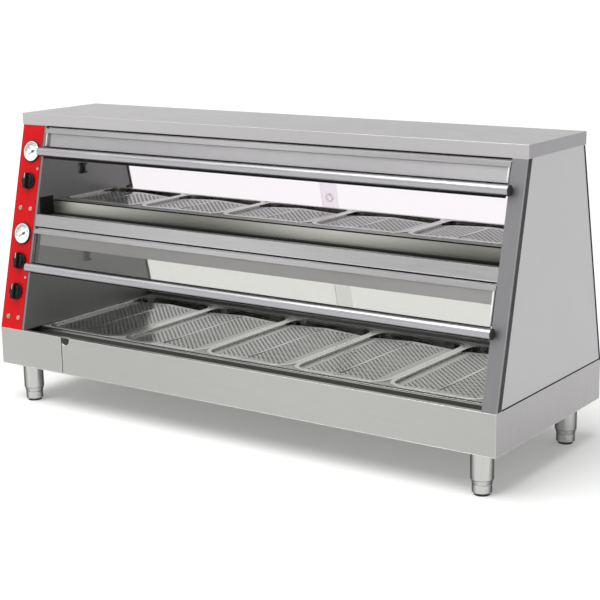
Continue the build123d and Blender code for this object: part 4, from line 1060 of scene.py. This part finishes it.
@dataclass
class DialGauge(Maker):
    """A round thermometer with a white dial, printed scale, dark rim and glass."""

    slope: FrontSlope
    ring: Pattern
    dial_height: float = -3.0
    dial_radius: float = 23.0
    rim_outer: float = 29.5
    rim_inner: float = 27.0
    rim_height: float = 4.0
    sweep: float = 240.0
    steps: int = 12
    top_mark: int = 120

    def marks(self, name: str, place: Matrix, count: int, length: float, width: float) -> None:
        """Prints one set of scale lines.

        Args:
            name: Name of the piece.
            place: Frame of the dial.
            count: Number of lines.
            length: Length of a line in millimetres.
            width: Width of a line in millimetres.
        """
        line = bmesh.new()
        soft_box(line, (-length, -width / 2, 0.0), (0, width / 2, 0.12), UPRIGHT, 0.0)
        piece = mesh_piece(name, line, self.finishes["ink"])
        start = math.radians(90 - self.sweep / 2)
        self.ring.apply(piece, {
            "Count": count, "Radius": (self.dial_radius - 1.2) * MM, "Start": start,
            "Step": math.radians(self.sweep) / (count - 1), "Finish": self.finishes["ink"],
        })
        piece.data.transform(place @ Matrix.Translation((0, 0, self.dial_height * MM)))
        attach(piece, CABINET)

    def numbers(self, name: str, place: Matrix) -> None:
        """Prints the plain numbers of the scale as one mesh.

        Args:
            name: Name of the piece.
            place: Frame of the dial.
        """
        shape = bmesh.new()
        count = 4
        for index in range(count + 1):
            curve = bpy.data.curves.new("number", "FONT")
            curve.body = str(self.top_mark * index // count)
            curve.size = 5.2 * MM
            curve.extrude = 0.06 * MM
            curve.align_x = "CENTER"
            curve.align_y = "CENTER"
            text = bpy.data.objects.new("number", curve)
            bpy.context.scene.collection.objects.link(text)
            graph = bpy.context.evaluated_depsgraph_get()
            mesh = bpy.data.meshes.new_from_object(text.evaluated_get(graph))
            angle = math.radians(90 + self.sweep / 2 - self.sweep * index / count)
            radius = (self.dial_radius - 8.4) * MM
            height = (self.dial_height + 0.06) * MM
            spot = Vector((math.cos(angle) * radius, math.sin(angle) * radius, height))
            mesh.transform(Matrix.Translation(spot))
            shape.from_mesh(mesh)
            bpy.data.objects.remove(text)
            bpy.data.meshes.remove(mesh)
        bmesh.ops.remove_doubles(shape, verts=shape.verts, dist=0.001 * MM)
        shape.transform(place)
        self.add(name, shape, "ink", "gauge_plastic")

    def build(self, tier: str) -> None:
        """Builds the fine pieces of one gauge.

        Args:
            tier: Name of the tier that the gauge reads.
        """
        point = joint_point(f"{tier}_needle_turn")
        place = self.slope.place(point.x, point.z)
        rim = bmesh.new()
        lathe(rim, [(self.rim_inner, 0.2), (self.rim_outer + 0.3, 0.2)]
              + arc((self.rim_outer - 0.9, self.rim_height - 0.8), 1.2, 0, 90)
              + [(self.rim_inner, self.rim_height + 0.4), (self.rim_inner - 0.9, self.rim_height - 0.6)],
              place, 64, closed=True)
        self.add(f"{tier}_gauge_rim", rim, "nylon", "gauge_plastic")
        self.marks(f"{tier}_gauge_short_marks", place, 4 * self.steps + 1, 1.8, 0.35)
        self.marks(f"{tier}_gauge_long_marks", place, self.steps + 1, 3.2, 0.7)
        self.numbers(f"{tier}_gauge_numbers", place)
        hub = bmesh.new()
        low = self.dial_height + 0.5
        lathe(hub, puck(3.6, low, low + 2.2, 0.8), place, 32)
        self.add(f"{tier}_needle_cap", hub, "ink", "black_plastic", f"{tier}_needle_body")


@dataclass
class PilotLamps(Maker):
    """Round indicator lamps with a metal ring and a stepped lens."""

    slope: FrontSlope
    spacing: float = 37.0
    radius: float = 6.0
    heights: tuple[float, float] = (519.52, 231.48)

    def build(self) -> None:
        """Builds both pairs of lamps in the place of their node."""
        low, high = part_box("pilot_lamps")
        middle = (low.x + high.x) / 2
        rings = bmesh.new()
        lenses = {-1: bmesh.new(), 1: bmesh.new()}
        for height in self.heights:
            for side, lens in lenses.items():
                place = self.slope.place(middle + side * self.spacing * MM / 2, height * MM)
                ring = [(4.6, 0.0), (self.radius, 0.0)] + arc((self.radius - 1.0, 1.2), 1.0, 0, 90)
                lathe(rings, ring + [(4.6, 2.2)], place, 40, closed=True)
                dome = arc((2.9, 2.4), 1.6, 0, 90)
                lathe(lens, [(0, -18.0), (4.5, -18.0), (4.5, 2.4)] + dome + [(0, 4.2)], place, 12)
        self.add("lamp_rings", rings, "screw_metal", "lamp_plastic", stands_for=["pilot_lamps"])
        for side, finish in ((-1, "green_lens"), (1, "amber_lens")):
            name = f"lamp_lenses_{'left' if side < 0 else 'right'}"
            attach(mesh_piece(name, lenses[side], self.finishes[finish], 20), CABINET)


@dataclass
class FlapTrim(Maker):
    """Tube handle, end plugs, studs and ground glass edges of one front flap."""

    slope: FrontSlope
    row: Pattern
    radius: float = 12.5
    wall: float = 1.5
    plug: float = 2.5
    stand_off: float = 15.0
    glass: float = 5.0
    stud_count: int = 3
    edge_skin: float = 0.25

    def build(self, tier: str) -> None:
        """Builds the handle of one flap in the place of its node.

        Args:
            tier: Name of the tier.
        """
        body = f"{tier}_flap"
        low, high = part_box(f"{tier}_flap_handle")
        cosine, sine = math.cos(self.slope.lean), math.sin(self.slope.lean)
        axis_z = high.z - self.radius * MM
        foot_z = axis_z - self.stand_off * MM * sine
        line_y = self.slope.place(0, foot_z, self.stand_off * MM).translation.y
        x0, x1 = low.x + self.plug * MM, high.x - self.plug * MM
        along = Matrix.Translation((x0, line_y, axis_z)) @ Matrix.Rotation(math.pi / 2, 4, "Y")
        length = (x1 - x0) / MM
        bore = self.radius - self.wall
        tube = bmesh.new()
        lathe(tube, [(bore, 0), (self.radius - 0.3, 0), (self.radius, 0.3), (self.radius, length - 0.3),
                     (self.radius - 0.3, length), (bore, length)], along, 64, closed=True)
        self.add(f"{tier}_handle_tube", tube, "tube_steel", "tube_steel", body, [f"{tier}_flap_handle"])
        plugs = bmesh.new()
        for start, way in ((0.0, -1), (length, 1)):
            profile = [(0, -14 * way), (bore - 0.1, -14 * way), (bore - 0.1, 0), (self.radius, 0),
                       (self.radius, 1.2 * way), (self.radius - 1.2, self.plug * way), (0, self.plug * way)]
            lathe(plugs, profile, along @ Matrix.Translation((0, 0, start * MM)), 48)
        self.add(f"{tier}_handle_plugs", plugs, "nylon", "black_plastic", body)
        place = self.slope.place(0, foot_z)
        stud = bmesh.new()
        lathe(stud, [(0, -self.glass - 2.4)] + arc((5.3, -self.glass - 1.2), 1.2, 270, 360)
              + [(6.5, -self.glass), (4.0, -self.glass), (4.0, 0), (6.5, 0), (5.0, 2.6), (0, 2.6)],
              place, 32)
        piece = mesh_piece(f"{tier}_handle_studs", stud, self.finishes["screw_metal"])
        glass_low, glass_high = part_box(f"{tier}_flap_glass")
        middle = (glass_low.x + glass_high.x) / 2
        step = (glass_high.x - glass_low.x + 8 * MM) / self.stud_count
        self.row.apply(piece, {
            "Count": self.stud_count, "Start": (middle - step, 0, 0), "Step": (step, 0, 0),
            "Finish": self.finishes["screw_metal"],
        })
        attach(piece, body)
        edges = bmesh.new()
        reach = (glass_high.z - foot_z) / MM / cosine
        skin = self.edge_skin
        for x in (glass_low.x / MM - skin, glass_high.x / MM):
            soft_box(edges, (x, -6.0, -self.glass + 0.3), (x + skin, reach - 0.5, -0.3), place, 0.0)
        soft_box(edges, (glass_low.x / MM, -6.0 - skin, -self.glass + 0.3),
                 (glass_high.x / MM, -6.0, -0.3), place, 0.0)
        self.add(f"{tier}_flap_glass_edge", edges, "glass_edge", "clear_glass", body)


@dataclass
class Seals(Maker):
    """Black rubber strips and pale edge trims of the flaps."""

    slope: FrontSlope
    reach: Mapping[str, float] = field(default_factory=lambda: {"upper": 16.5, "lower": 14.6})
    side_width: float = 12.0
    edge_width: float = 4.0
    gap: float = 0.2
    web: tuple[float, float] = (-1.8, -8.4)
    lip: tuple[float, float] = (-3.5, 0.35)
    lip_front: float = 1.3
    bead_depth: float = 2.3

    def build(self, tier: str, support: str) -> None:
        """Builds the strips of one flap.

        Args:
            tier: Name of the tier.
            support: Node whose underside the flap hangs below.
        """
        glass_low, glass_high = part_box(f"{tier}_flap_glass")
        _, handle_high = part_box(f"{tier}_flap_handle")
        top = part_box(support)[0].z
        hinge = self.slope.place(0, top)
        x0, x1 = glass_low.x / MM, glass_high.x / MM
        strip = bmesh.new()
        # A web under the support, and a front lip that covers the gap above the hinge bar. Both stay
        # clear of the bar's swing.
        for foot in (self.web, self.lip):
            soft_box(strip, (x0, *foot), (x1, -self.gap, self.lip_front), hinge, 0.3)
        self.add(f"{tier}_hinge_seal", strip, "seal_rubber", "black_plastic")
        foot_z = handle_high.z - (FlapTrim.radius + FlapTrim.stand_off * math.sin(self.slope.lean)) * MM
        edge = self.slope.place(0, foot_z)
        reach = self.reach[tier]
        # A black rubber bead behind the handle tube; its edges above and below the tube are also painted
        # shadow.
        bead = bmesh.new()
        soft_box(bead, (x0, -reach, 0.0), (x1, reach, self.bead_depth), edge, 0.6)
        self.add(f"{tier}_handle_seal", bead, "seal_rubber", "black_plastic", f"{tier}_flap")
        rise = (top - foot_z) / MM / math.cos(self.slope.lean)
        trims = bmesh.new()
        for x in (x0, x1 - self.edge_width) if tier == "upper" else (x1 - self.edge_width,):
            soft_box(trims, (x, reach + 0.2, -5.4), (x + self.edge_width, rise - 15.0, 0.4), edge, 0.3)
        self.add(f"{tier}_edge_trims", trims, "glass_edge", "clear_glass", f"{tier}_flap")
        if tier == "lower":
            sides = bmesh.new()
            wall_left, wall_right = inner_walls()
            for near, far in ((wall_left, x0 + self.side_width), (x1 - self.side_width / 3, wall_right)):
                soft_box(sides, (near, reach + 2, -10.0), (far, rise - 8, -6.2), edge, 0.8)
            self.add("lower_side_seals", sides, "seal_rubber", "black_plastic")


@dataclass
class InnerTrim(Maker):
    """Black strips and blocks inside the cabinet as painted shadow, pale strips as painted light and
    highlight, black door stops, and the edging of the side panels.
    """

    slope: FrontSlope
    proud: float = 0.5
    end_gap: float = 1.0
    # Painted-shadow strip below the upper deck: depth and height. Its end blocks, also painted shadow:
    # thickness, reach and height.
    gutter_size: tuple[float, float] = (15.0, 3.4)
    end_shadow_size: tuple[float, float, float] = (3.0, 49.0, 50.0)
    # Painted-highlight strip on the lower deck's front wall: thickness, then its foot and top below the
    # deck.
    highlight_strip_size: tuple[float, float, float] = (1.2, 8.5, 3.0)
    rear_strip_gap: float = 1.5
    rear_strip_reach: float = 26.0
    shadow_line_size: tuple[float, float] = (0.9, 3.6)
    shadow_line_inset: float = 4.0
    stop_size: tuple[float, float] = (1.5, 6.0)
    latch_reach: float = 18.0
    latch_span: tuple[float, float] = (24.0, 31.0)
    piping_foot: float = 3.4
    piping_rear: float = 6.5
    piping_inset: float = 26.0
    notch_radius: float = 14.6
    notch_disc: float = 0.7
    notch_offset: tuple[float, float, float] = (15.0, 1.1, -3.8)

    def opening(self, name: str) -> tuple[Vector, Vector]:
        """Corners of one of the record's openings, in metres.

        Args:
            name: Name of the opening.

        Returns:
            The lowest and the highest corner.
        """
        for opening in frame["record"]["physics"]["openings"]:
            if opening["name"] == name:
                low, high = opening["box_m"]
                return Vector(low), Vector(high)
        raise KeyError(name)

    def strip(
        self, name: str, low: Sequence[float], high: Sequence[float], soft: float,
        finish: str = "seal_rubber", slot: str = "black_plastic",
    ) -> None:
        """Adds a straight strip as a piece of its own.

        Args:
            name: Name of the piece.
            low: Lowest corner in millimetres.
            high: Highest corner in millimetres.
            soft: Radius of the edges in millimetres.
            finish: Field name of its finish.
            slot: Material slot of the record.
        """
        shape = bmesh.new()
        soft_box(shape, low, high, UPRIGHT, soft)
        self.add(name, shape, finish, slot)

    def gutter_strip(self) -> None:
        """Black strip at the foot of the upper deck's front wall, with a black block at each end; both are
        painted shadow in the gutter and at the wall's ends.
        """
        low, high = self.opening("upper_crumb_gutter")
        left, right = inner_walls()
        y, z = high.y / MM + 1.2, low.z / MM - 1.3
        shape = bmesh.new()
        depth, height = self.gutter_size
        near, far = left + self.end_gap, right - self.end_gap
        soft_box(shape, (near, y - depth, z), (far, y, z + height), UPRIGHT, 0.5)
        thick, reach, tall = self.end_shadow_size
        for x in (left, right - thick):
            soft_box(shape, (x, y - thick - reach, z), (x + thick, y - thick, z + tall), UPRIGHT, 0.8)
        self.add("upper_gutter_shadow_strip", shape, "seal_rubber", "black_plastic")

    def gutter_highlight_strip(self) -> None:
        """Bright strip along the top of the lower deck's front wall: a painted highlight on the dark wall.
        """
        high = self.opening("lower_crumb_gutter")[1]
        left, right = inner_walls()
        y, z = high.y / MM + 0.9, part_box("lower_deck")[1].z / MM
        thick, foot, top = self.highlight_strip_size
        low, high = (left + self.end_gap, y - thick, z - foot), (right - self.end_gap, y, z - top)
        self.strip("lower_gutter_highlight_strip", low, high, 0.4, "pan_steel", "steel_sheet")

    def rear_strip(self) -> None:
        """Matt strip of sheet between the lower pans and the sill of the rear doors, pale as painted light
        where the deck lies in shade.
        """
        left, right = inner_walls()
        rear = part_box("lower_pan_1")[1].y / MM
        foot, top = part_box("lower_deck")[1].z / MM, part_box("side_panel_right")[0].z / MM
        low = (left + self.end_gap, rear + self.rear_strip_gap, foot)
        high = (right - self.end_gap, rear + self.rear_strip_reach, top + self.proud)
        self.strip("rear_deck_strip", low, high, 0.2, "strip_steel", "steel_sheet")

    def riser_shadow_line(self) -> None:
        """Black strip along the top of the upper deck's front wall: painted shadow for the gap between the
        pans and the wall.
        """
        high = self.opening("upper_crumb_gutter")[1]
        left, right = inner_walls()
        y, z = high.y / MM + 1.5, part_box("upper_deck")[1].z / MM
        thick, tall = self.shadow_line_size
        low, high = (left + self.shadow_line_inset, y - thick, z - tall), (right - self.shadow_line_inset, y, z)
        self.strip("upper_deck_shadow_line", low, high, 0.3)

    def door_stops(self) -> None:
        """Black stop strips beside the closed rear doors, and the latch of the upper one."""
        shape = bmesh.new()
        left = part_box("column_left")[1].x / MM
        for tier in TIERS:
            low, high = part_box(f"{tier}_door_right")
            # The strip lies flat on the wall beside the outer door and leans with it.
            lean = Matrix.Rotation(REAR_LEAN, 4, "X")
            place = Matrix.Translation((left * MM, high.y + 1 * MM, low.z + 4 * MM)) @ lean
            tall = (high.z - low.z) / MM / math.cos(REAR_LEAN) - 10
            soft_box(shape, (0, 0, 0), (*self.stop_size, tall), place, 0.4)
            if tier == "upper":
                foot, head = self.latch_span
                soft_box(shape, (0, -self.latch_reach, foot), (*self.stop_size, head), place, 0.4)
        self.add("rear_door_stops", shape, "nylon", "black_plastic")

    def side_edging(self) -> None:
        """Black piping along the foot and the rear edge of both side panels."""
        low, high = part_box("side_panel_right")
        foot, top, depth = low.z / MM, high.z / MM, high.y / MM
        shape = bmesh.new()
        for x0, x1 in ((high.x / MM, high.x / MM + self.proud), (-high.x / MM - self.proud, -high.x / MM)):
            y_foot = self.slope.place(0, low.z).translation.y / MM
            near = y_foot + self.piping_inset
            soft_box(shape, (x0, near, foot), (x1, depth, foot + self.piping_foot), UPRIGHT, 0.2)
            lean = Matrix.Translation((0, depth * MM, foot * MM)) @ Matrix.Rotation(REAR_LEAN, 4, "X")
            rise = (top - foot) / math.cos(REAR_LEAN) - self.end_gap
            soft_box(shape, (x0, -self.piping_rear, 0), (x1, 0, rise), lean, 0.2)
        self.add("side_panel_edging", shape, "seal_rubber", "black_plastic")

    def notch_shadow_disc(self) -> None:
        """Black disc behind the notch of the base front: painted shadow for the dark hollow behind the
        notch.
        """
        cover_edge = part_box("service_cover")[1].x / MM
        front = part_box("base_shell")[0].y / MM
        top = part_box("lower_deck")[1].z / MM
        shape = bmesh.new()
        spot = (Vector((cover_edge, front, top)) + Vector(self.notch_offset)) * MM
        radius, thick = self.notch_radius, self.notch_disc
        lathe(shape, [(0, 0), (radius, 0), (radius, thick), (0, thick)],
              Matrix.Translation(spot) @ Matrix.Rotation(math.pi / 2, 4, "X"), 40)
        geometry = list(shape.verts) + list(shape.edges) + list(shape.faces)
        cut = bmesh.ops.bisect_plane(
            shape, geom=geometry, plane_co=(0, 0, top * MM), plane_no=(0, 0, 1), clear_outer=True
        )
        rim = [part for part in cut["geom_cut"] if isinstance(part, bmesh.types.BMEdge)]
        bmesh.ops.contextual_create(shape, geom=rim)
        self.add("base_notch_shadow_disc", shape, "nylon", "black_plastic")

    def build(self) -> None:
        """Builds every strip."""
        self.gutter_strip()
        self.gutter_highlight_strip()
        self.rear_strip()
        self.riser_shadow_line()
        self.door_stops()
        self.side_edging()
        self.notch_shadow_disc()


@dataclass
class Legs(Maker):
    """Four polished legs with tapered levelling feet."""

    tube_radius: float = 27.0
    foot_radius: float = 23.0
    sole_radius: float = 16.5
    sole_height: float = 2.0
    foot_height: float = 37.0
    taper: float = 11.0
    stud_radius: float = 5.0
    stud_length: float = 13.0

    def centres(self) -> list[tuple[float, float]]:
        """Axes of the legs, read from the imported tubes."""
        low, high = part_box("leg_tubes")
        radius = self.tube_radius * MM
        across, along = (low.x + radius, high.x - radius), (low.y + radius, high.y - radius)
        return [(x, y) for x in across for y in along]

    def build(self) -> None:
        """Builds the legs and feet in the place of their nodes."""
        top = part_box("base_floor")[0].z / MM
        tubes, feet, soles = bmesh.new(), bmesh.new(), bmesh.new()
        radius = self.tube_radius
        for x, y in self.centres():
            place = Matrix.Translation((x, y, 0))
            lathe(tubes, [(0, self.foot_height + 0.2), (radius - 1.2, self.foot_height + 0.2)]
                  + arc((radius - 1.2, self.foot_height + 1.4), 1.2, -90, 0)
                  + [(radius, top - 0.4), (radius - 0.4, top), (self.stud_radius, top),
                     (self.stud_radius, top + self.stud_length), (0, top + self.stud_length)], place, 64)
            neck = self.foot_height - self.taper
            lathe(feet, [(0, 0), (self.sole_radius, 0), (self.foot_radius - 1.0, 6.2)]
                  + arc((self.foot_radius - 1.2, 7.6), 1.2, -30, 0)
                  + [(self.foot_radius, neck - 1.6), (self.foot_radius - 0.7, neck - 1.0),
                     (self.foot_radius - 0.7, neck - 0.2), (self.foot_radius + 0.2, neck + 0.5),
                     (radius - 1.0, self.foot_height - 0.4), (radius - 1.6, self.foot_height),
                     (0, self.foot_height)], place, 64)
            sole, inner = self.sole_radius, self.sole_radius - 3
            lathe(soles, [(inner, 0), (sole + 1.6, 0), (sole + 2.2, self.sole_height),
                          (inner, self.sole_height)], place, 48, closed=True)
        self.add("levelling_foot_soles", soles, "nylon", "black_plastic")
        self.add("leg_tube_shapes", tubes, "leg_steel", "steel_sheet", stands_for=["leg_tubes"])
        self.add("levelling_foot_shapes", feet, "leg_steel", "steel_sheet", stands_for=["levelling_feet"])


@dataclass
class Screws(Maker):
    """Cross-recess screws of the control panel and of the posts' rear faces."""

    slope: FrontSlope
    row: Pattern
    head: float = 3.5
    height: float = 2.2
    recess: float = 1.1
    panel_heights: tuple[float, float] = (339.01, 625.0)
    panel_inset: float = 5.0
    rear_rise: float = 190.0
    rear_count: int = 3
    rear_start: float = 0.3

    def unit(self, name: str) -> bpy.types.Object:
        """One screw on the origin, standing out along local Z.

        Args:
            name: Name of the piece.

        Returns:
            The screw, with its cross recess cut.
        """
        shape = bmesh.new()
        lathe(shape, [(0, -9.0), (2.0, -9.0), (2.0, 0), (self.head, 0), (self.head, 0.5)]
              + arc((0, self.height - self.head), self.head, 55, 90, 4)[:-1] + [(0, self.height)],
              UPRIGHT, 24)
        piece = mesh_piece(name, shape, self.finishes["screw_metal"])
        cross = bmesh.new()
        for turn in (0, math.pi / 2):
            soft_box(cross, (-2.1, -0.4, self.height - self.recess), (2.1, 0.4, self.height + 1),
                     Matrix.Rotation(turn, 4, "Z"), 0.0)
        cutter = mesh_piece(f"{name}_cutter", cross, self.finishes["screw_metal"])
        cut = piece.modifiers.new("recess", "BOOLEAN")
        cut.operation = "DIFFERENCE"
        cut.object = cutter
        cut.use_self = True
        plain_mesh(piece)
        bpy.data.objects.remove(cutter)
        return piece

    def set_out(self, name: str, turn: Matrix, count: int, start: Vector, step: Vector) -> None:
        """Builds one row of screws.

        Args:
            name: Name of the piece.
            turn: Rotation that points local Z out of the sheet.
            count: Number of screws.
            start: Place of the first screw.
            step: Distance from one to the next.
        """
        piece = self.unit(name)
        piece.data.transform(turn)
        self.row.apply(piece, {
            "Count": count, "Start": tuple(start), "Step": tuple(step),
            "Finish": self.finishes["screw_metal"],
        })
        attach(piece, CABINET)

    def build(self) -> None:
        """Builds the panel screws and the rows on the posts' rear faces."""
        _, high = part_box("control_panel")
        x = high.x - self.panel_inset * MM
        first, second = (self.slope.place(x, z * MM) for z in self.panel_heights)
        turn = first.to_quaternion().to_matrix().to_4x4()
        self.set_out("panel_screw_pair", turn, 2, first.translation, second.translation - first.translation)
        back = Matrix.Rotation(REAR_LEAN - math.pi / 2, 4, "X")
        step = Vector((0, -math.tan(REAR_LEAN), 1)) * self.rear_rise * MM
        for side in ("left", "right"):
            low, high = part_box(f"column_{side}")
            first = Vector(((low.x + high.x) / 2, high.y, low.z)) + step * self.rear_start
            self.set_out(f"rear_{side}_screws", back, self.rear_count, first, step)


@dataclass
class Stage:
    """Pale floor, soft light and the camera at the photograph's angle."""

    camera_place: tuple[float, float, float] = (2.2034, -3.0322, 1.1730)
    camera_turn: float = 35.3565
    camera_down: float = 12.9595
    camera_roll: float = -0.9784
    lens_mm: float = 89.797
    sensor_mm: float = 36.0
    floor_half: float = 60.0
    floor_shade: str = "#EEEEED"
    floor_lift: float = 0.165
    sun_watts: float = 2.35
    sun_spread: float = 50.0
    sun_turn: tuple[float, float, float] = (22.0, -10.0, 0.0)
    sky_light: float = 0.42

    def floor(self) -> None:
        """Builds the floor."""
        shape = bmesh.new()
        reach = self.floor_half
        signs = ((-1, -1), (1, -1), (1, 1), (-1, 1))
        shape.faces.new([shape.verts.new((x * reach, y * reach, 0)) for x, y in signs])
        material, tree = new_material("matt_studio_floor")
        shader = add_node(
            tree, "ShaderNodeBsdfPrincipled", None,
            {"Base Color": linear(self.floor_shade), "Roughness": 0.9, "Specular IOR Level": 0.2,
             "Emission Color": linear(WHITE), "Emission Strength": self.floor_lift},
        )
        close_material(tree, shader)
        piece = mesh_piece("studio_floor", shape, material)

    def sky(self) -> None:
        """Lights the object evenly, and shows plain white to the eye and in reflections."""
        world = bpy.data.worlds.new("studio")
        world.use_nodes = True
        tree = world.node_tree
        tree.nodes.clear()
        path = add_node(tree, "ShaderNodeLightPath")
        glossy = calc(tree, "MAXIMUM", path.outputs["Is Glossy Ray"], path.outputs["Is Transmission Ray"])
        seen = calc(tree, "MAXIMUM", glossy, path.outputs["Is Camera Ray"])
        soft, white = (
            add_node(tree, "ShaderNodeBackground", None, {"Color": linear(WHITE), "Strength": strength})
            for strength in (self.sky_light, 1.0)
        )
        mixed = add_node(
            tree, "ShaderNodeMixShader", None, {0: seen, 1: soft.outputs[0], 2: white.outputs[0]}
        )
        add_node(tree, "ShaderNodeOutputWorld", None, {"Surface": mixed.outputs[0]})
        bpy.context.scene.world = world

    def sun(self) -> None:
        """Adds the broad overhead light."""
        light = bpy.data.lights.new("overhead", "SUN")
        light.energy = self.sun_watts
        light.angle = math.radians(self.sun_spread)
        lamp = bpy.data.objects.new("overhead", light)
        lamp.rotation_euler = Euler([math.radians(angle) for angle in self.sun_turn])
        bpy.context.scene.collection.objects.link(lamp)

    def camera(self) -> None:
        """Adds the camera."""
        data = bpy.data.cameras.new("camera")
        data.lens = self.lens_mm
        data.sensor_width = self.sensor_mm
        data.sensor_fit = "HORIZONTAL"
        data.clip_end = 200.0
        camera = bpy.data.objects.new("camera", data)
        turn = (
            Matrix.Rotation(math.radians(self.camera_turn), 4, "Z")
            @ Matrix.Rotation(math.radians(90 - self.camera_down), 4, "X")
            @ Matrix.Rotation(math.radians(self.camera_roll), 4, "Z")
        )
        camera.matrix_world = Matrix.Translation(self.camera_place) @ turn
        bpy.context.scene.collection.objects.link(camera)
        bpy.context.scene.camera = camera

    def build(self) -> None:
        """Builds the whole stage."""
        self.floor()
        self.sky()
        self.sun()
        self.camera()
        bpy.context.scene.view_settings.view_transform = "Standard"


NODE_FINISHES: dict[str, str] = {
    "base_shell": "outer_steel",
    "service_cover": "outer_steel",
    "base_floor": "outer_steel",
    "roof_cover": "roof_steel",
    "mid_front_rail": "rail_steel",
    "upper_heater_housing": "fascia_steel",
    "lower_heater_housing": "fascia_steel",
    "column_left": "post_steel",
    "column_right": "post_steel",
    "side_panel_left": "side_steel",
    "side_panel_right": "side_steel",
    "lower_deck": "deck_steel",
    "upper_deck": "riser_steel",
    "control_panel": "panel_enamel",
    "heating_elements": "element_steel",
    "door_tracks": "track_metal",
    "gauge_cases": "dial_enamel",
    "gauge_lenses": "glass",
    "thermostats": "nylon",
    "probe_clips": "nylon",
    "cable_gland": "nylon",
    "fasteners": "screw_metal",
    "upper_needle": "ink",
    "lower_needle": "ink",
}


def dress_nodes(finishes: Finishes) -> None:
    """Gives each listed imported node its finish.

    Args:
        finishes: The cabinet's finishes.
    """
    chosen = dict(NODE_FINISHES)
    for tier in TIERS:
        chosen[f"{tier}_flap_glass"] = f"{tier}_flap_pane"
        chosen[f"{tier}_flap_hinge"] = "rail_steel"
        for side in ("left", "right"):
            chosen[f"{tier}_door_{side}"] = f"{tier}_pane"
        for number in range(1, PANS_PER_TIER + 1):
            chosen[f"{tier}_pan_{number}"] = "pan_steel"
    for name, node in frame["nodes"].items():
        if name in chosen:
            for slot in node.material_slots:
                slot.material = finishes[chosen[name]]
            LOG.info("%s: %s", name, chosen[name])


def main() -> None:
    """Builds the stage, dresses the nodes and adds the fine pieces."""
    logging.basicConfig(level=logging.INFO, format="%(name)s %(message)s")
    Stage().build()
    finishes = Finishes()
    slope = FrontSlope.from_frame()
    ring, row, punched = ring_pattern(), row_pattern(), punched_pattern()
    dress_nodes(finishes)
    insert = PunchedInsert(finishes, punched)
    for tier in TIERS:
        for number in range(1, PANS_PER_TIER + 1):
            insert.build(tier, number)
    knob = ControlKnob(finishes, slope, ring)
    for name in ("upper_knob", "middle_knob", "lower_knob"):
        knob.build(name)
    gauge = DialGauge(finishes, slope, ring)
    trim = FlapTrim(finishes, slope, row)
    seals = Seals(finishes, slope)
    for tier, support in zip(TIERS, ("roof_cover", "mid_front_rail")):
        gauge.build(tier)
        trim.build(tier)
        seals.build(tier, support)
    InnerTrim(finishes, slope).build()
    PilotLamps(finishes, slope).build()
    Legs(finishes).build()
    Screws(finishes, slope, row).build()


if __name__ == "__main__":
    main()
